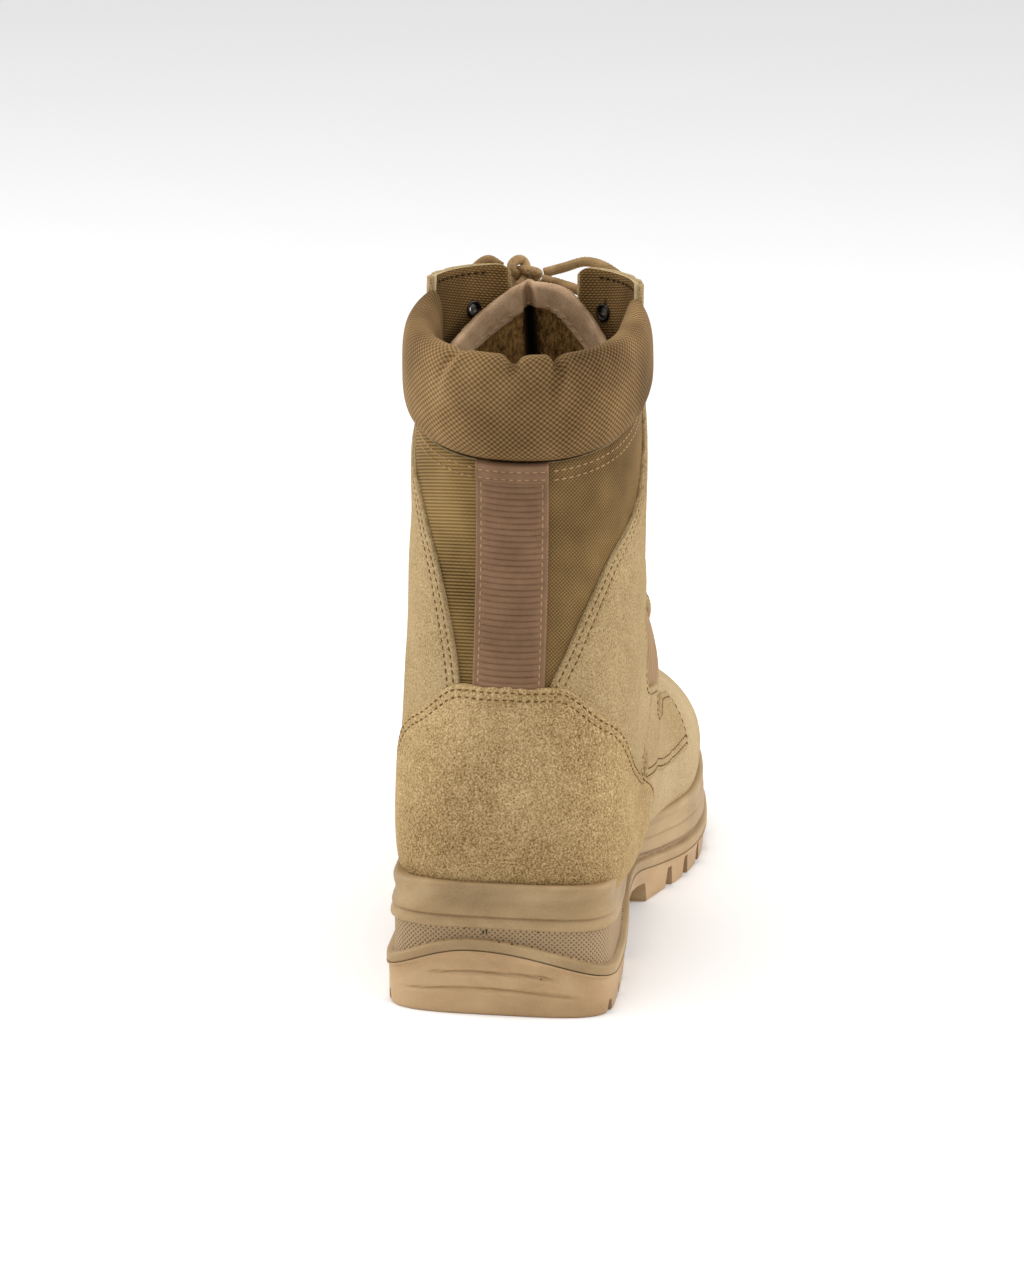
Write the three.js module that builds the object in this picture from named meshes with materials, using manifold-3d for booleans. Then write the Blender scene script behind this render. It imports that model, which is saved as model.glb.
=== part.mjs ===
// A laced combat boot for the left foot, in millimetres, +Z up.
// It is modelled with the heel's back at X = 0, the toe towards +X, the lateral (outer) side at +Y,
// the medial (inner) side at -Y, and the ground at Z = 0. The last group moves it so that the
// origin is at the middle of the underside of its box.
import * as THREE from "three";
import { mergeVertices } from "three/addons/utils/BufferGeometryUtils.js";
import Module from "manifold-3d";

const wasm = await Module();
wasm.setup();

// ---------------------------------------------------------------- driving dimensions
const LENGTH = 304; // sole, heel to toe
const BALL_WIDTH = 111; // sole at the ball of the foot
const HEEL_HEIGHT = 34; // ground to the heel seat
const BALL_HEIGHT = 17; // ground to the foot under the ball
const TOE_HEIGHT = 22; // ground to the foot at the toe: the toe spring
const SHAFT_HEIGHT = 242; // ground to the top of the facings
const INSTEP_HEIGHT = 118; // ground to the instep, halfway along the foot

const WALL = 2.6; // leather or nylon with its lining
const GAP = 0.3; // between pieces that meet
const COUNTER_THICK = 1.8;
const TOE_REACH = 296; // the upper's foremost point

const STRAP_WIDTH = 25.4;
const STRAP_THICK = 1.5;

const LACE_RADIUS = 1.75;
const EYELET_PAIRS = 8;
const EYELET = { bore: 2.0, tube: 2.5, flange: 3.5, lip: 0.6 };

// Shares of the driving dimensions, so that the tables below hold plain numbers for this size.
const kx = LENGTH / 304;
const ky = BALL_WIDTH / 111;
const kz = SHAFT_HEIGHT / 242;
const instepLift = INSTEP_HEIGHT - 118;

// ---------------------------------------------------------------- curves through table columns
// Catmull-Rom through values that are one step apart.
function spline(values, at) {
  const last = values.length - 1;
  const i = Math.min(Math.max(Math.floor(at), 0), last - 1);
  const t = at - i;
  const value = (k) => values[Math.min(Math.max(k, 0), last)];
  const [a, b, c, d] = [value(i - 1), value(i), value(i + 1), value(i + 2)];
  return b + 0.5 * t * (c - a + t * (2 * a - 5 * b + 4 * c - d + t * (3 * (b - c) + d - a)));
}

// A smooth height or width at x, from rows of [x, value] in rising x.
function along(rows, x) {
  const last = rows.length - 1;
  if (x <= rows[0][0]) return rows[0][1];
  if (x >= rows[last][0]) return rows[last][1];
  const i = rows.findIndex((row, k) => k < last && x < rows[k + 1][0]);
  const slope = (k) => {
    const [before, after] = [rows[Math.max(k - 1, 0)], rows[Math.min(k + 1, last)]];
    return (after[1] - before[1]) / (after[0] - before[0]);
  };
  const [a, b] = [rows[i], rows[i + 1]];
  const span = b[0] - a[0];
  const t = (x - a[0]) / span;
  const rise = t * t * (3 - 2 * t);
  return a[1] + (b[1] - a[1]) * rise + span * t * (1 - t) * ((1 - t) * slope(i) - t * slope(i + 1));
}

// 1 until x is `reach` from `end`, then down to 0 there, as a rounded corner does.
function rounding(x, end, reach, power) {
  const share = Math.min(Math.max(1 - Math.abs(end - x) / reach, 0), 1);
  return Math.pow(Math.max(1 - Math.pow(share, power), 0), 1 / power);
}

// ---------------------------------------------------------------- heights along the sole
// Underside of the foot.
const seat = (x) =>
  along(
    [
      [0, HEEL_HEIGHT],
      [75, HEEL_HEIGHT - 1],
      [130, (HEEL_HEIGHT + BALL_HEIGHT) / 2 - 1],
      [190, BALL_HEIGHT],
      [240, BALL_HEIGHT + 0.5],
      [TOE_REACH, TOE_HEIGHT],
    ],
    x / kx,
  );

// Top edge of the cup that the upper stands in.
const rim = (x) =>
  along(
    [
      [0, 47],
      [60, 45.5],
      [110, 38],
      [160, 31],
      [220, 29.5],
      [270, 32.5],
      [304, 37],
    ],
    x / kx,
  );

// Where the midsole meets the outsole. It arches over the back of the heel in a wave.
const WAVE = { rise: 9.8, peakY: 10, lateral: 33, medial: 52, power: 1.2 };
const split = (x, y) => {
  const span = y > WAVE.peakY ? WAVE.lateral : WAVE.medial;
  const away = Math.min(Math.abs(y - WAVE.peakY) / span, 1);
  const arch = Math.max(Math.cos((away * Math.PI) / 2), 0) ** WAVE.power;
  const wave = x < LENGTH / 4 ? arch * rounding(x, 60 * kx, 60 * kx, 2) : 0;
  const level = along(
    [
      [0, 13.5],
      [60, 13.5],
      [95, 17],
      [125, 17],
      [155, 12.5],
      [185, 9.8],
      [230, 9.6],
      [270, 13],
      [304, 19.4],
    ],
    x / kx,
  );
  return level + WAVE.rise * wave;
};

// The tread: flat under the heel and ball, lifting to the toe.
const TOE_SPRING = { start: 214 * kx, rise: 12, power: 1.8 };
const tread = (x) => {
  const share = Math.max(x - TOE_SPRING.start, 0) / (LENGTH - TOE_SPRING.start);
  return TOE_SPRING.rise * share ** TOE_SPRING.power;
};

// ---------------------------------------------------------------- the last
// A row for each section, from the toe round the heel to the collar. A section is a flat loop in
// a plane that leans: its base is under the foot, then behind the heel and leg, and its ridge is
// on top of the foot, then in front of the leg. lateral, centre and medial are Y at the widest
// line and at the ridge. widest is that line's share of the way from base to ridge. baseRound and
// ridgeRound are superellipse powers: 2 is round, more is squarer. Base heights of null follow
// the seat.
const SECTION_COLUMNS = [
  "baseX", "baseZ", "ridgeX", "ridgeZ",
  "lateral", "centre", "medial", "widest", "baseRound", "ridgeRound",
];
const SECTION_ROWS = [
  [296, null, 296, 61, 33, -6, -41, 0.4, 3.2, 2.3],
  [272, null, 275, 64, 38, -6, -45, 0.4, 3.2, 2.2],
  [248, null, 254, 67.5, 45.5, -5.5, -48.5, 0.4, 3.2, 2.1],
  [224, null, 233, 73.5, 51, -5, -50.5, 0.4, 3.2, 2.05],
  [198, null, 210, 82.5, 52.5, -4, -49.8, 0.37, 3.3, 1.95],
  [170, null, 188, 93, 50, -3, -44.8, 0.37, 3.5, 1.9],
  [140, null, 169, 103.5, 45.5, -2, -41.8, 0.42, 4.0, 1.95],
  [108, null, 154, 114.5, 42, -1, -42.8, 0.54, 4.8, 2.1],
  [74, null, 143, 125.5, 41, 0, -44.2, 0.62, 5.4, 2.3],
  [42, null, 135, 137, 40.4, 0, -43.6, 0.6, 5.6, 2.45],
  [14, 37.5, 129, 148, 40, 0, -41.8, 0.52, 4.8, 2.6],
  [5.5, 54, 125.5, 158.5, 39.6, 0, -41, 0.46, 3.7, 2.6],
  [6, 78, 123.3, 169, 39.3, 0, -40.8, 0.45, 2.85, 2.5],
  [10, 103, 122, 179.5, 39.3, 0, -40.6, 0.46, 2.4, 2.4],
  [14.5, 129, 121.5, 189.5, 39.9, 0, -40.4, 0.47, 2.35, 2.3],
  [17, 154, 121.8, 200, 40, 0.2, -40.3, 0.48, 2.3, 2.25],
  [17, 180, 122.4, 211, 40.2, 0.6, -39.6, 0.48, 2.3, 2.25],
  [15.5, 206, 123.2, 225, 40.6, 1.2, -38.5, 0.48, 2.3, 2.35],
  [13.5, 231, 124, 242, 41, 1.7, -37.6, 0.48, 2.3, 2.55],
  [12.5, 248, 124.5, 256, 41.2, 1.7, -37.6, 0.48, 2.3, 2.6],
];
const FOOT_RIDGE_ROWS = 10; // rows whose ridge is on top of the foot
const COLLAR_ROW = SECTION_ROWS.length - 2; // the top of the facings
const COLUMNS = Object.fromEntries(
  SECTION_COLUMNS.map((name, i) => [
    name,
    SECTION_ROWS.map((row, r) => {
      if (name === "baseZ") return row[i] === null ? seat(row[0] * kx) : row[i] * kz;
      if (name === "ridgeZ") return row[i] * kz + (r < FOOT_RIDGE_ROWS ? instepLift : 0);
      if (name === "baseX" || name === "ridgeX") return row[i] * kx;
      if (name === "lateral" || name === "centre" || name === "medial") return row[i] * ky;
      return row[i];
    }),
  ]),
);

const TOE = {
  x: TOE_REACH * kx,
  y: -6 * ky,
  z: TOE_HEIGHT + 14,
  reachY: 50 * kx,
  reachZ: 36 * kx,
  power: 2.3,
};

// A point of the last. u counts sections from the toe, and turn runs once round a section:
// 0 at the ridge, 0.25 lateral, 0.5 at the base, 0.75 medial.
function lastPoint(u, turn) {
  const row = (name) => spline(COLUMNS[name], u);
  const c = Math.cos(turn * 2 * Math.PI);
  const s = Math.sin(turn * 2 * Math.PI);
  const power = 2 / row(c >= 0 ? "ridgeRound" : "baseRound");
  const widest = row("widest");
  const rise = Math.abs(c) ** power;
  const share = c >= 0 ? widest + (1 - widest) * rise : widest * (1 - rise);
  const side = row(s >= 0 ? "lateral" : "medial");
  const x = row("baseX") + (row("ridgeX") - row("baseX")) * share;
  const y = row("centre") + (side - row("centre")) * Math.abs(s) ** power;
  const z = row("baseZ") + (row("ridgeZ") - row("baseZ")) * share;
  const roundY = rounding(x, TOE.x, TOE.reachY, TOE.power);
  const roundZ = rounding(x, TOE.x, TOE.reachZ, TOE.power);
  return new THREE.Vector3(x, TOE.y + (y - TOE.y) * roundY, TOE.z + (z - TOE.z) * roundZ);
}

// The last's outward normal there.
function lastNormal(u, turn) {
  const step = 0.004;
  if (u < step) return new THREE.Vector3(1, 0, 0);
  const alongU = lastPoint(u + step, turn).sub(lastPoint(u - step, turn));
  const aroundIt = lastPoint(u, turn + step).sub(lastPoint(u, turn - step));
  return aroundIt.cross(alongU).normalize();
}

// A point of the last lifted off it by `lift`.
const lifted = (u, turn, lift) => lastPoint(u, turn).addScaledVector(lastNormal(u, turn), lift);

// The turn at which section u is `y` from its centre line, on the ridge or the base side.
function turnAt(u, y, onRidge) {
  const edge = spline(COLUMNS[y >= 0 ? "lateral" : "medial"], u) - spline(COLUMNS.centre, u);
  const power = spline(COLUMNS[onRidge ? "ridgeRound" : "baseRound"], u) / 2;
  const angle = Math.asin(Math.min(Math.abs(y / edge), 1) ** power) / (2 * Math.PI);
  return onRidge ? Math.sign(y) * angle : 0.5 - Math.sign(y) * angle;
}

// ---------------------------------------------------------------- solids
// A closed solid through rings of points, each ring in step with the next. A ring of one point
// is a pole. Each end is closed by a ladder between the ring's two halves.
function loft(rings) {
  const positions = [];
  const faces = [];
  const starts = rings.map((ring) => {
    const start = positions.length / 3;
    ring.forEach((p) => positions.push(p.x, p.y, p.z));
    return start;
  });
  const n = Math.max(...rings.map((ring) => ring.length));
  for (let r = 0; r + 1 < rings.length; r++) {
    for (let k = 0; k < n; k++) {
      const next = (k + 1) % n;
      const here = (i) => starts[r] + (rings[r].length === 1 ? 0 : i);
      const there = (i) => starts[r + 1] + (rings[r + 1].length === 1 ? 0 : i);
      if (rings[r].length > 1) faces.push([here(k), here(next), there(k)]);
      if (rings[r + 1].length > 1) faces.push([here(next), there(next), there(k)]);
    }
  }
  [0, rings.length - 1].forEach((r) => {
    if (rings[r].length === 1) return;
    for (let k = 0; k < n / 2 - 1; k++) {
      const [a, b, c, d] = [k, k + 1, n - 2 - k, n - 1 - k].map((i) => starts[r] + i);
      const quad = [[a, d, b], [b, d, c]].filter((f) => new Set(f).size === 3);
      faces.push(...(r === 0 ? quad : quad.map(([p, q, s]) => [p, s, q])));
    }
  });
  return solid(positions, faces.flat());
}

// A manifold from positions and triangle corners, turned to face out.
function solid(positions, corners) {
  const make = (order) =>
    new wasm.Manifold(
      new wasm.Mesh({
        numProp: 3,
        vertProperties: new Float32Array(positions),
        triVerts: new Uint32Array(order),
      }),
    );
  const made = make(corners);
  return made.volume() > 0 ? made : make([...corners].reverse());
}

// A manifold from a closed three.js geometry.
function solidOf(geometry) {
  const bare = new THREE.BufferGeometry();
  const flat = geometry.index ? geometry.toNonIndexed() : geometry;
  bare.setAttribute("position", flat.getAttribute("position"));
  const merged = mergeVertices(bare, 1e-4);
  return solid([...merged.attributes.position.array], [...merged.index.array]);
}

function geometryOf(made) {
  const mesh = made.getMesh();
  const geometry = new THREE.BufferGeometry();
  geometry.setAttribute("position", new THREE.BufferAttribute(mesh.vertProperties, 3));
  geometry.setIndex(new THREE.BufferAttribute(mesh.triVerts, 1));
  const sharp = geometry.toNonIndexed();
  sharp.computeVertexNormals();
  return sharp;
}

const steps = (from, to, count) =>
  Array.from({ length: count + 1 }, (_, i) => from + ((to - from) * i) / count);

// The whole last as one closed solid, grown outwards by `grow`. It runs on above the collar.
const AROUND = 26;
const TOE_STEPS = 5;
const TOE_END = 1.5; // the section that the toe's closer steps reach
const REST_STEPS = 24;
function lastForm(grow) {
  const toe = steps(0, 1, TOE_STEPS).slice(1).map((t) => TOE_END * t * t);
  const rest = steps(TOE_END, SECTION_ROWS.length - 1, REST_STEPS).slice(1);
  const rings = [...toe, ...rest].map((u) =>
    Array.from({ length: AROUND }, (_, k) => lifted(u, (k + 0.5) / AROUND, grow)),
  );
  return loft([[lifted(0, 0, grow)], ...rings]);
}

// A shell between two grown forms of the last, kept where `inside` is.
const shell = (low, high, inside) => lastForm(high).subtract(lastForm(low)).intersect(inside);

// A curved block that follows the last. place(s, t) gives u, turn, low and high, for s and t
// from 0 to 1: low and high are its two faces' lifts off the last.
function block(place, countS, countT) {
  return loft(
    steps(0, 1, countS).map((s) => {
      const spots = steps(0, 1, countT).map((t) => place(s, t));
      const high = spots.map((p) => lifted(p.u, p.turn, p.high));
      const low = spots.map((p) => lifted(p.u, p.turn, p.low)).reverse();
      return [...high, ...low];
    }),
  );
}

// A prism across Y from a side outline of [x, z] points.
function sidePrism(outline, halfWidth = 90) {
  const shape = new THREE.Shape(outline.map(([x, z]) => new THREE.Vector2(x, z)));
  const geometry = new THREE.ExtrudeGeometry(shape, { depth: 2 * halfWidth, bevelEnabled: false });
  geometry.rotateX(Math.PI / 2).translate(0, halfWidth, 0);
  return solidOf(geometry);
}

// A prism up Z from a plan outline of [x, y] points.
function planPrism(outline, low, high) {
  const shape = new THREE.Shape(outline.map(([x, y]) => new THREE.Vector2(x, y)));
  const geometry = new THREE.ExtrudeGeometry(shape, { depth: high - low, bevelEnabled: false });
  return solidOf(geometry.translate(0, 0, low));
}

// ---------------------------------------------------------------- the sole's outline
const SOLE_LATERAL = [
  [0, 41],
  [40, 41.5],
  [75, 41.2],
  [110, 42.5],
  [145, 48],
  [175, 54],
  [202, 56.5],
  [225, 55.5],
  [250, 51],
  [278, 43],
  [304, 36],
];
const SOLE_MEDIAL = [
  [0, -40],
  [40, -40.3],
  [75, -38.6],
  [100, -36.6],
  [125, -36.5],
  [145, -38.5],
  [165, -44],
  [185, -50],
  [205, -53.4],
  [225, -54.2],
  [250, -52],
  [278, -47],
  [304, -42],
];
const SOLE_TIP_Y = -6 * ky;
const TOE_ROUND = { reach: 52 * kx, power: 2.3 };
const HEEL_ROUND = { reach: 26 * kx, power: 3.8 };

// One point of the sole's widest outline. w runs from the toe, 0, to the heel, 1, closer at both.
function solePoint(w, rows) {
  const x = (LENGTH * (1 - w) ** 2) / (w ** 2 + (1 - w) ** 2);
  const toe = rounding(x, LENGTH, TOE_ROUND.reach, TOE_ROUND.power);
  const heel = rounding(x, 0, HEEL_ROUND.reach, HEEL_ROUND.power);
  const centre = x > LENGTH / 2 ? SOLE_TIP_Y : 0;
  const y = along(rows, x / kx) * ky;
  return new THREE.Vector2(x, centre + (y - centre) * toe * heel);
}

// The sole's outline moved out by `grow`, at heights from height(x, y).
const SOLE_STEPS = 30;
function soleRing(grow, height) {
  const side = (rows, sign) =>
    steps(0, 1, SOLE_STEPS)
      .slice(1, -1)
      .map((w) => {
        const p = solePoint(w, rows);
        const step = 0.002;
        const tangent = solePoint(w + step, rows).sub(solePoint(w - step, rows)).normalize();
        const out = new THREE.Vector2(sign * tangent.y, -sign * tangent.x);
        const moved = p.clone().addScaledVector(out, grow);
        return new THREE.Vector3(moved.x, moved.y, height(p.x, p.y));
      });
  return [...side(SOLE_LATERAL, 1), ...side(SOLE_MEDIAL, -1).reverse()];
}

// ---------------------------------------------------------------- seams on the last, in u and turn
// The throat: its first section, and its half gap low down and at the top.
const THROAT = { foot: 4.5, low: 9, high: 12.5 };
const throatHalf = (u) => {
  const up = Math.min((u - THROAT.foot) / 6, 1);
  return THROAT.low + (THROAT.high - THROAT.low) * up;
};

// The collar pad: the turn of its front end, and u along its lower seam, behind and at the front.
const PAD = { end: 0.2, seamBack: 16.48, seamFront: 16.56, depth: 6.2 };
const padSeam = (turn) => {
  const forward = Math.min(Math.abs(turn - 0.5) / (0.5 - PAD.end), 1);
  return PAD.seamBack + (PAD.seamFront - PAD.seamBack) * forward * forward;
};

// Top edge of the heel counter: u at each turn away from the back.
const COUNTER_EDGE = [
  [0, 13.47],
  [0.07, 13.33],
  [0.143, 12.55],
  [0.2, 11.5],
  [0.225, 10.8],
  [0.237, 9.6],
  [0.241, 8.4],
];
const COUNTER_HALF_TURN = 0.241;
const counterTop = (turn) => along(COUNTER_EDGE, Math.abs(turn - 0.5));

// ---------------------------------------------------------------- pieces
// The throat's two edges run up from a round end on the vamp.
function throatCutter() {
  const top = SECTION_ROWS.length - 1;
  return block(
    (s, t) => {
      const u = THROAT.foot + (top - THROAT.foot) * s ** 1.15;
      const roundEnd = Math.sqrt(Math.min(s / 0.05, 1));
      const half = throatHalf(u) * (0.35 + 0.65 * roundEnd);
      return { u, turn: turnAt(u, half * (1 - 2 * t), true), low: -7, high: 5 };
    },
    24,
    4,
  );
}

// Everything above the pad's seam, or above the facings in front of the pad.
function collarCutter() {
  const above = SECTION_ROWS.length - 1;
  const behind = block(
    (s, t) => {
      const turn = PAD.end + (1 - 2 * PAD.end) * t;
      const seam = padSeam(turn);
      return { u: seam + (above - seam) * s, turn, low: -9, high: 6 };
    },
    3,
    28,
  );
  const high = SHAFT_HEIGHT + 60;
  const over = sidePrism([
    [-40, SHAFT_HEIGHT],
    [180, SHAFT_HEIGHT],
    [180, high],
    [-40, high],
  ]);
  return behind.add(over);
}

// The opening inside the upper's turned-under edge, which the insole and midsole close.
function undersideCutter() {
  const edge = 17;
  const xs = steps(32, 266, 12);
  const side = (rows, sign) =>
    xs.map((x) => [x * kx, (along(rows, x) - sign * edge) * ky * rounding(x, 276, 46, 2.2)]);
  return planPrism([...side(SOLE_LATERAL, 1), ...side(SOLE_MEDIAL, -1).reverse()], 0, HEEL_HEIGHT + 8);
}

// Where each eyelet goes: u of the lowest and highest pair, and how far each row stands off the
// throat.
const LACED_PAIRS = 7; // the top pair is left empty
const EYELET_ROWS = { low: 5.2, high: 17.2, lateral: 13.5, medial: 10.8 };
function eyeletSpots() {
  return steps(EYELET_ROWS.low, EYELET_ROWS.high, EYELET_PAIRS - 1).flatMap((u, i) =>
    [1, -1].map((side) => ({
      name: `eyelet_${side > 0 ? "lateral" : "medial"}_${i + 1}`,
      u,
      turn: turnAt(u, side * (throatHalf(u) + EYELET_ROWS[side > 0 ? "lateral" : "medial"]), true),
    })),
  );
}

// Turns a shape made along +Y so that it stands on the last at a spot, with its middle in the wall.
function onTheWall(geometry, spot) {
  const normal = lastNormal(spot.u, spot.turn);
  const turned = new THREE.Quaternion().setFromUnitVectors(new THREE.Vector3(0, 1, 0), normal);
  const at = lifted(spot.u, spot.turn, -WALL / 2);
  return geometry.applyQuaternion(turned).translate(at.x, at.y, at.z);
}

function eyeletSolid(spot) {
  const face = WALL / 2 + 2 * GAP;
  const outer = face + EYELET.lip;
  const profile = [
    [EYELET.bore, -outer],
    [EYELET.flange, -face],
    [EYELET.tube, -face],
    [EYELET.tube, face],
    [EYELET.flange, face],
    [EYELET.bore, outer],
    [EYELET.bore, -outer],
  ].map(([r, y]) => new THREE.Vector2(r, y));
  return solidOf(onTheWall(new THREE.LatheGeometry(profile, 8), spot));
}

// The seam between the vamp and the rest of the upper, seen from the side: in front of the
// throat, down to the side and back along it to the waist.
const SEAM_GAP = 0.1;
const VAMP_SEAM = [
  [228, 120],
  [221, 70],
  [192, 46],
  [120, 42],
  [84, 8],
];

// Everything in front of the vamp's seam and below it, the seam shifted forwards by `gap`.
function vampRegion(gap) {
  const seam = VAMP_SEAM.map(([x, z]) => [(x + gap) * kx, z]);
  return sidePrism([...seam, [84, -20], [340, -20], [340, 120]]);
}

function upperSolids() {
  const hole = EYELET.tube + GAP + 0.1;
  const holes = eyeletSpots().map((spot) =>
    solidOf(onTheWall(new THREE.CylinderGeometry(hole, hole, 12, 8), spot)),
  );
  const cuts = [lastForm(-WALL), throatCutter(), collarCutter(), undersideCutter(), ...holes];
  const whole = cuts.reduce((made, cut) => made.subtract(cut), lastForm(0));
  return { vamp: whole.intersect(vampRegion(SEAM_GAP)), upper: whole.subtract(vampRegion(0)) };
}

// The padded collar: a soft roll round the back and sides, standing on the upper's edge.
function collarPadSolid() {
  const around = 24;
  const loop = 10;
  const end = PAD.end + 0.004;
  return loft(
    steps(end, 1 - end, around).map((turn) => {
      const low = padSeam(turn) + 0.03;
      const top = COLLAR_ROW - 0.05;
      const mid = (low + top) / 2;
      const half = lastPoint(top, turn).distanceTo(lastPoint(low, turn)) / 2;
      const up = lastPoint(top, turn).sub(lastPoint(low, turn)).normalize();
      const out = lastNormal(mid, turn);
      const centre = lifted(mid, turn, -2.2);
      const nearEnd = Math.min((turn - PAD.end) / 0.05, (1 - PAD.end - turn) / 0.05, 1);
      const thick = PAD.depth * (0.5 + 0.5 * Math.sqrt(nearEnd));
      return Array.from({ length: loop }, (_, k) => {
        const angle = ((k + 0.5) / loop) * 2 * Math.PI;
        const across = Math.sign(Math.cos(angle)) * Math.abs(Math.cos(angle)) ** 0.75;
        const upward = Math.sign(Math.sin(angle)) * Math.abs(Math.sin(angle)) ** 0.6;
        return centre.clone().addScaledVector(out, thick * across).addScaledVector(up, half * upward);
      });
    }),
  );
}

// The counter's outline as a block that reaches well inside and outside the last.
function counterOutline(spare) {
  const bottom = 8.2 - 0.1 * spare;
  return block(
    (s, t) => {
      const turn = 0.5 + (COUNTER_HALF_TURN + 0.002 * spare) * (2 * t - 1);
      return { u: bottom + (counterTop(turn) + 0.03 * spare - bottom) * s, turn, low: -4, high: 8 };
    },
    10,
    22,
  );
}

// The counter is kept to what shows above the seat, because its lower edge is turned under.
function heelCounterSolid() {
  const floor = HEEL_HEIGHT + 4;
  const above = sidePrism([
    [-20, floor],
    [200, floor],
    [200, SHAFT_HEIGHT],
    [-20, SHAFT_HEIGHT],
  ]);
  return shell(GAP, GAP + COUNTER_THICK, counterOutline(0).intersect(above));
}

function backStrapSolid() {
  const foot = counterTop(0.5) + 0.04;
  const top = PAD.seamBack - 0.04;
  const outline = block(
    (s, t) => {
      const u = foot + (top - foot) * s;
      return { u, turn: turnAt(u, (0.5 - t) * STRAP_WIDTH, false), low: -2, high: 5 };
    },
    8,
    4,
  );
  return shell(GAP, GAP + STRAP_THICK, outline);
}

// The tongue lies behind the throat, under the facings, and its top edge is arched.
const TONGUE = { foot: 4.4, peak: 17.7, shoulder: 1.3, halfFoot: 16, halfTop: 35, lean: 5, drift: 4.5 };
function tongueSolid() {
  return block(
    (s, t) => {
      const across = 1 - 2 * t;
      const top = TONGUE.peak - TONGUE.shoulder * Math.abs(across) ** 1.4;
      const u = TONGUE.foot + (top - TONGUE.foot) * s;
      const half = TONGUE.halfFoot + (TONGUE.halfTop - TONGUE.halfFoot) * Math.min(s * 1.8, 1);
      const outer = -WALL - 1.4 - TONGUE.lean * s ** 3;
      const thick = 3 + 1.6 * Math.min(s * 2, 1);
      const y = half * across + TONGUE.drift * s * s;
      return { u, turn: turnAt(u, y, true), low: outer - thick, high: outer };
    },
    14,
    6,
  );
}

function insoleSolid() {
  const thick = 5;
  const lift = WALL + GAP;
  const xs = steps(-10, LENGTH + 10, 20);
  const outline = [
    ...xs.map((x) => [x, seat(x) + lift]),
    ...xs.map((x) => [x, seat(x) + lift + thick]).reverse(),
  ];
  return lastForm(-WALL - 0.4).intersect(sidePrism(outline));
}

// Midsole wall, from the outsole up to the rim: share of the height, and how far it stands in.
const MIDSOLE_WALL = [
  { share: 0, inset: 0.3 },
  { share: 0.12, inset: 0 },
  { share: 0.22, inset: 1.5 },
  { share: 0.44, inset: 1.6 },
  { share: 0.52, inset: 0.8 },
  { share: 0.64, inset: 1.7 },
  { share: 0.96, inset: 2.4 },
  { share: 1, inset: 3.2 },
];
function midsoleSolid() {
  const body = loft(
    MIDSOLE_WALL.map(({ share, inset }) =>
      soleRing(-inset, (x, y) => {
        const low = split(x, y) + GAP;
        return low + (rim(x) - low) * share;
      }),
    ),
  );
  const counterRoom = lastForm(2 * GAP + COUNTER_THICK).intersect(counterOutline(1));
  return body.subtract(lastForm(GAP)).subtract(counterRoom);
}

// Lugs are what stays between the grooves: slanting cuts that run out through the sole's sides.
const GROOVES = [
  { x: 167, width: 6, sweep: 9, depth: 8 },
  { x: 184, width: 6, sweep: 9, depth: 7.6 },
  { x: 203, width: 6, sweep: 9, depth: 7.6 },
  { x: 223, width: 6, sweep: 9, depth: 7.6 },
  { x: 242, width: 6, sweep: 9, depth: 7.6 },
  { x: 260, width: 6, sweep: 9, depth: 7.6 },
  { x: 278, width: 6, sweep: 9, depth: 7.6 },
  { x: 20, width: 3.6, sweep: 5, depth: 4 },
  { x: 40, width: 3.6, sweep: 5, depth: 4 },
  { x: 58, width: 3.6, sweep: 5, depth: 4 },
];
const GROOVE_INNER = 9; // the grooves stop this far from the centre line
function grooveCutters() {
  return GROOVES.flatMap(({ x, width, sweep, depth }) =>
    [1, -1].map((side) => {
      const [inner, outer] = [GROOVE_INNER * side, BALL_WIDTH * side];
      const half = width / 2;
      const outline = [
        [x * kx - half + sweep, inner],
        [x * kx - half, outer],
        [x * kx + half, outer],
        [x * kx + half + sweep, inner],
      ];
      return planPrism(side > 0 ? outline : outline.reverse(), -5, tread(x * kx) + depth);
    }),
  );
}

const OUTSOLE_WALL = [
  { share: 0, inset: 1.8 },
  { share: 0.08, inset: 1.3 },
  { share: 0.6, inset: 1.1 },
  { share: 1, inset: 0.3 },
];
function outsoleSolid() {
  const body = loft(
    OUTSOLE_WALL.map(({ share, inset }) =>
      soleRing(-inset, (x, y) => tread(x) + (split(x, y) - tread(x)) * share),
    ),
  );
  const waist = sidePrism([
    [76 * kx, -5],
    [80 * kx, 11],
    [122 * kx, 12],
    [148 * kx, 8],
    [153 * kx, -5],
  ]);
  return [waist, ...grooveCutters()].reduce((made, cut) => made.subtract(cut), body);
}

// ---------------------------------------------------------------- laces
// A round cord along a smooth curve through points, as one closed tube.
function cord(points, count) {
  const curve = new THREE.CatmullRomCurve3(points);
  const sides = 8;
  const section = new THREE.Shape(
    Array.from({ length: sides }, (_, k) => {
      const angle = ((k + 0.5) / sides) * 2 * Math.PI;
      return new THREE.Vector2(LACE_RADIUS * Math.cos(angle), LACE_RADIUS * Math.sin(angle));
    }),
  );
  return solidOf(new THREE.ExtrudeGeometry(section, { steps: count, extrudePath: curve }));
}

// The knot sits over the top of the throat, a little to the lateral side.
const KNOT = { at: [131.5, 10.5, 237], size: [10, 13, 10.4] };
function knotSolid() {
  const ball = new THREE.SphereGeometry(0.5, 10, 8);
  return solidOf(ball.scale(...KNOT.size).translate(...KNOT.at));
}

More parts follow.
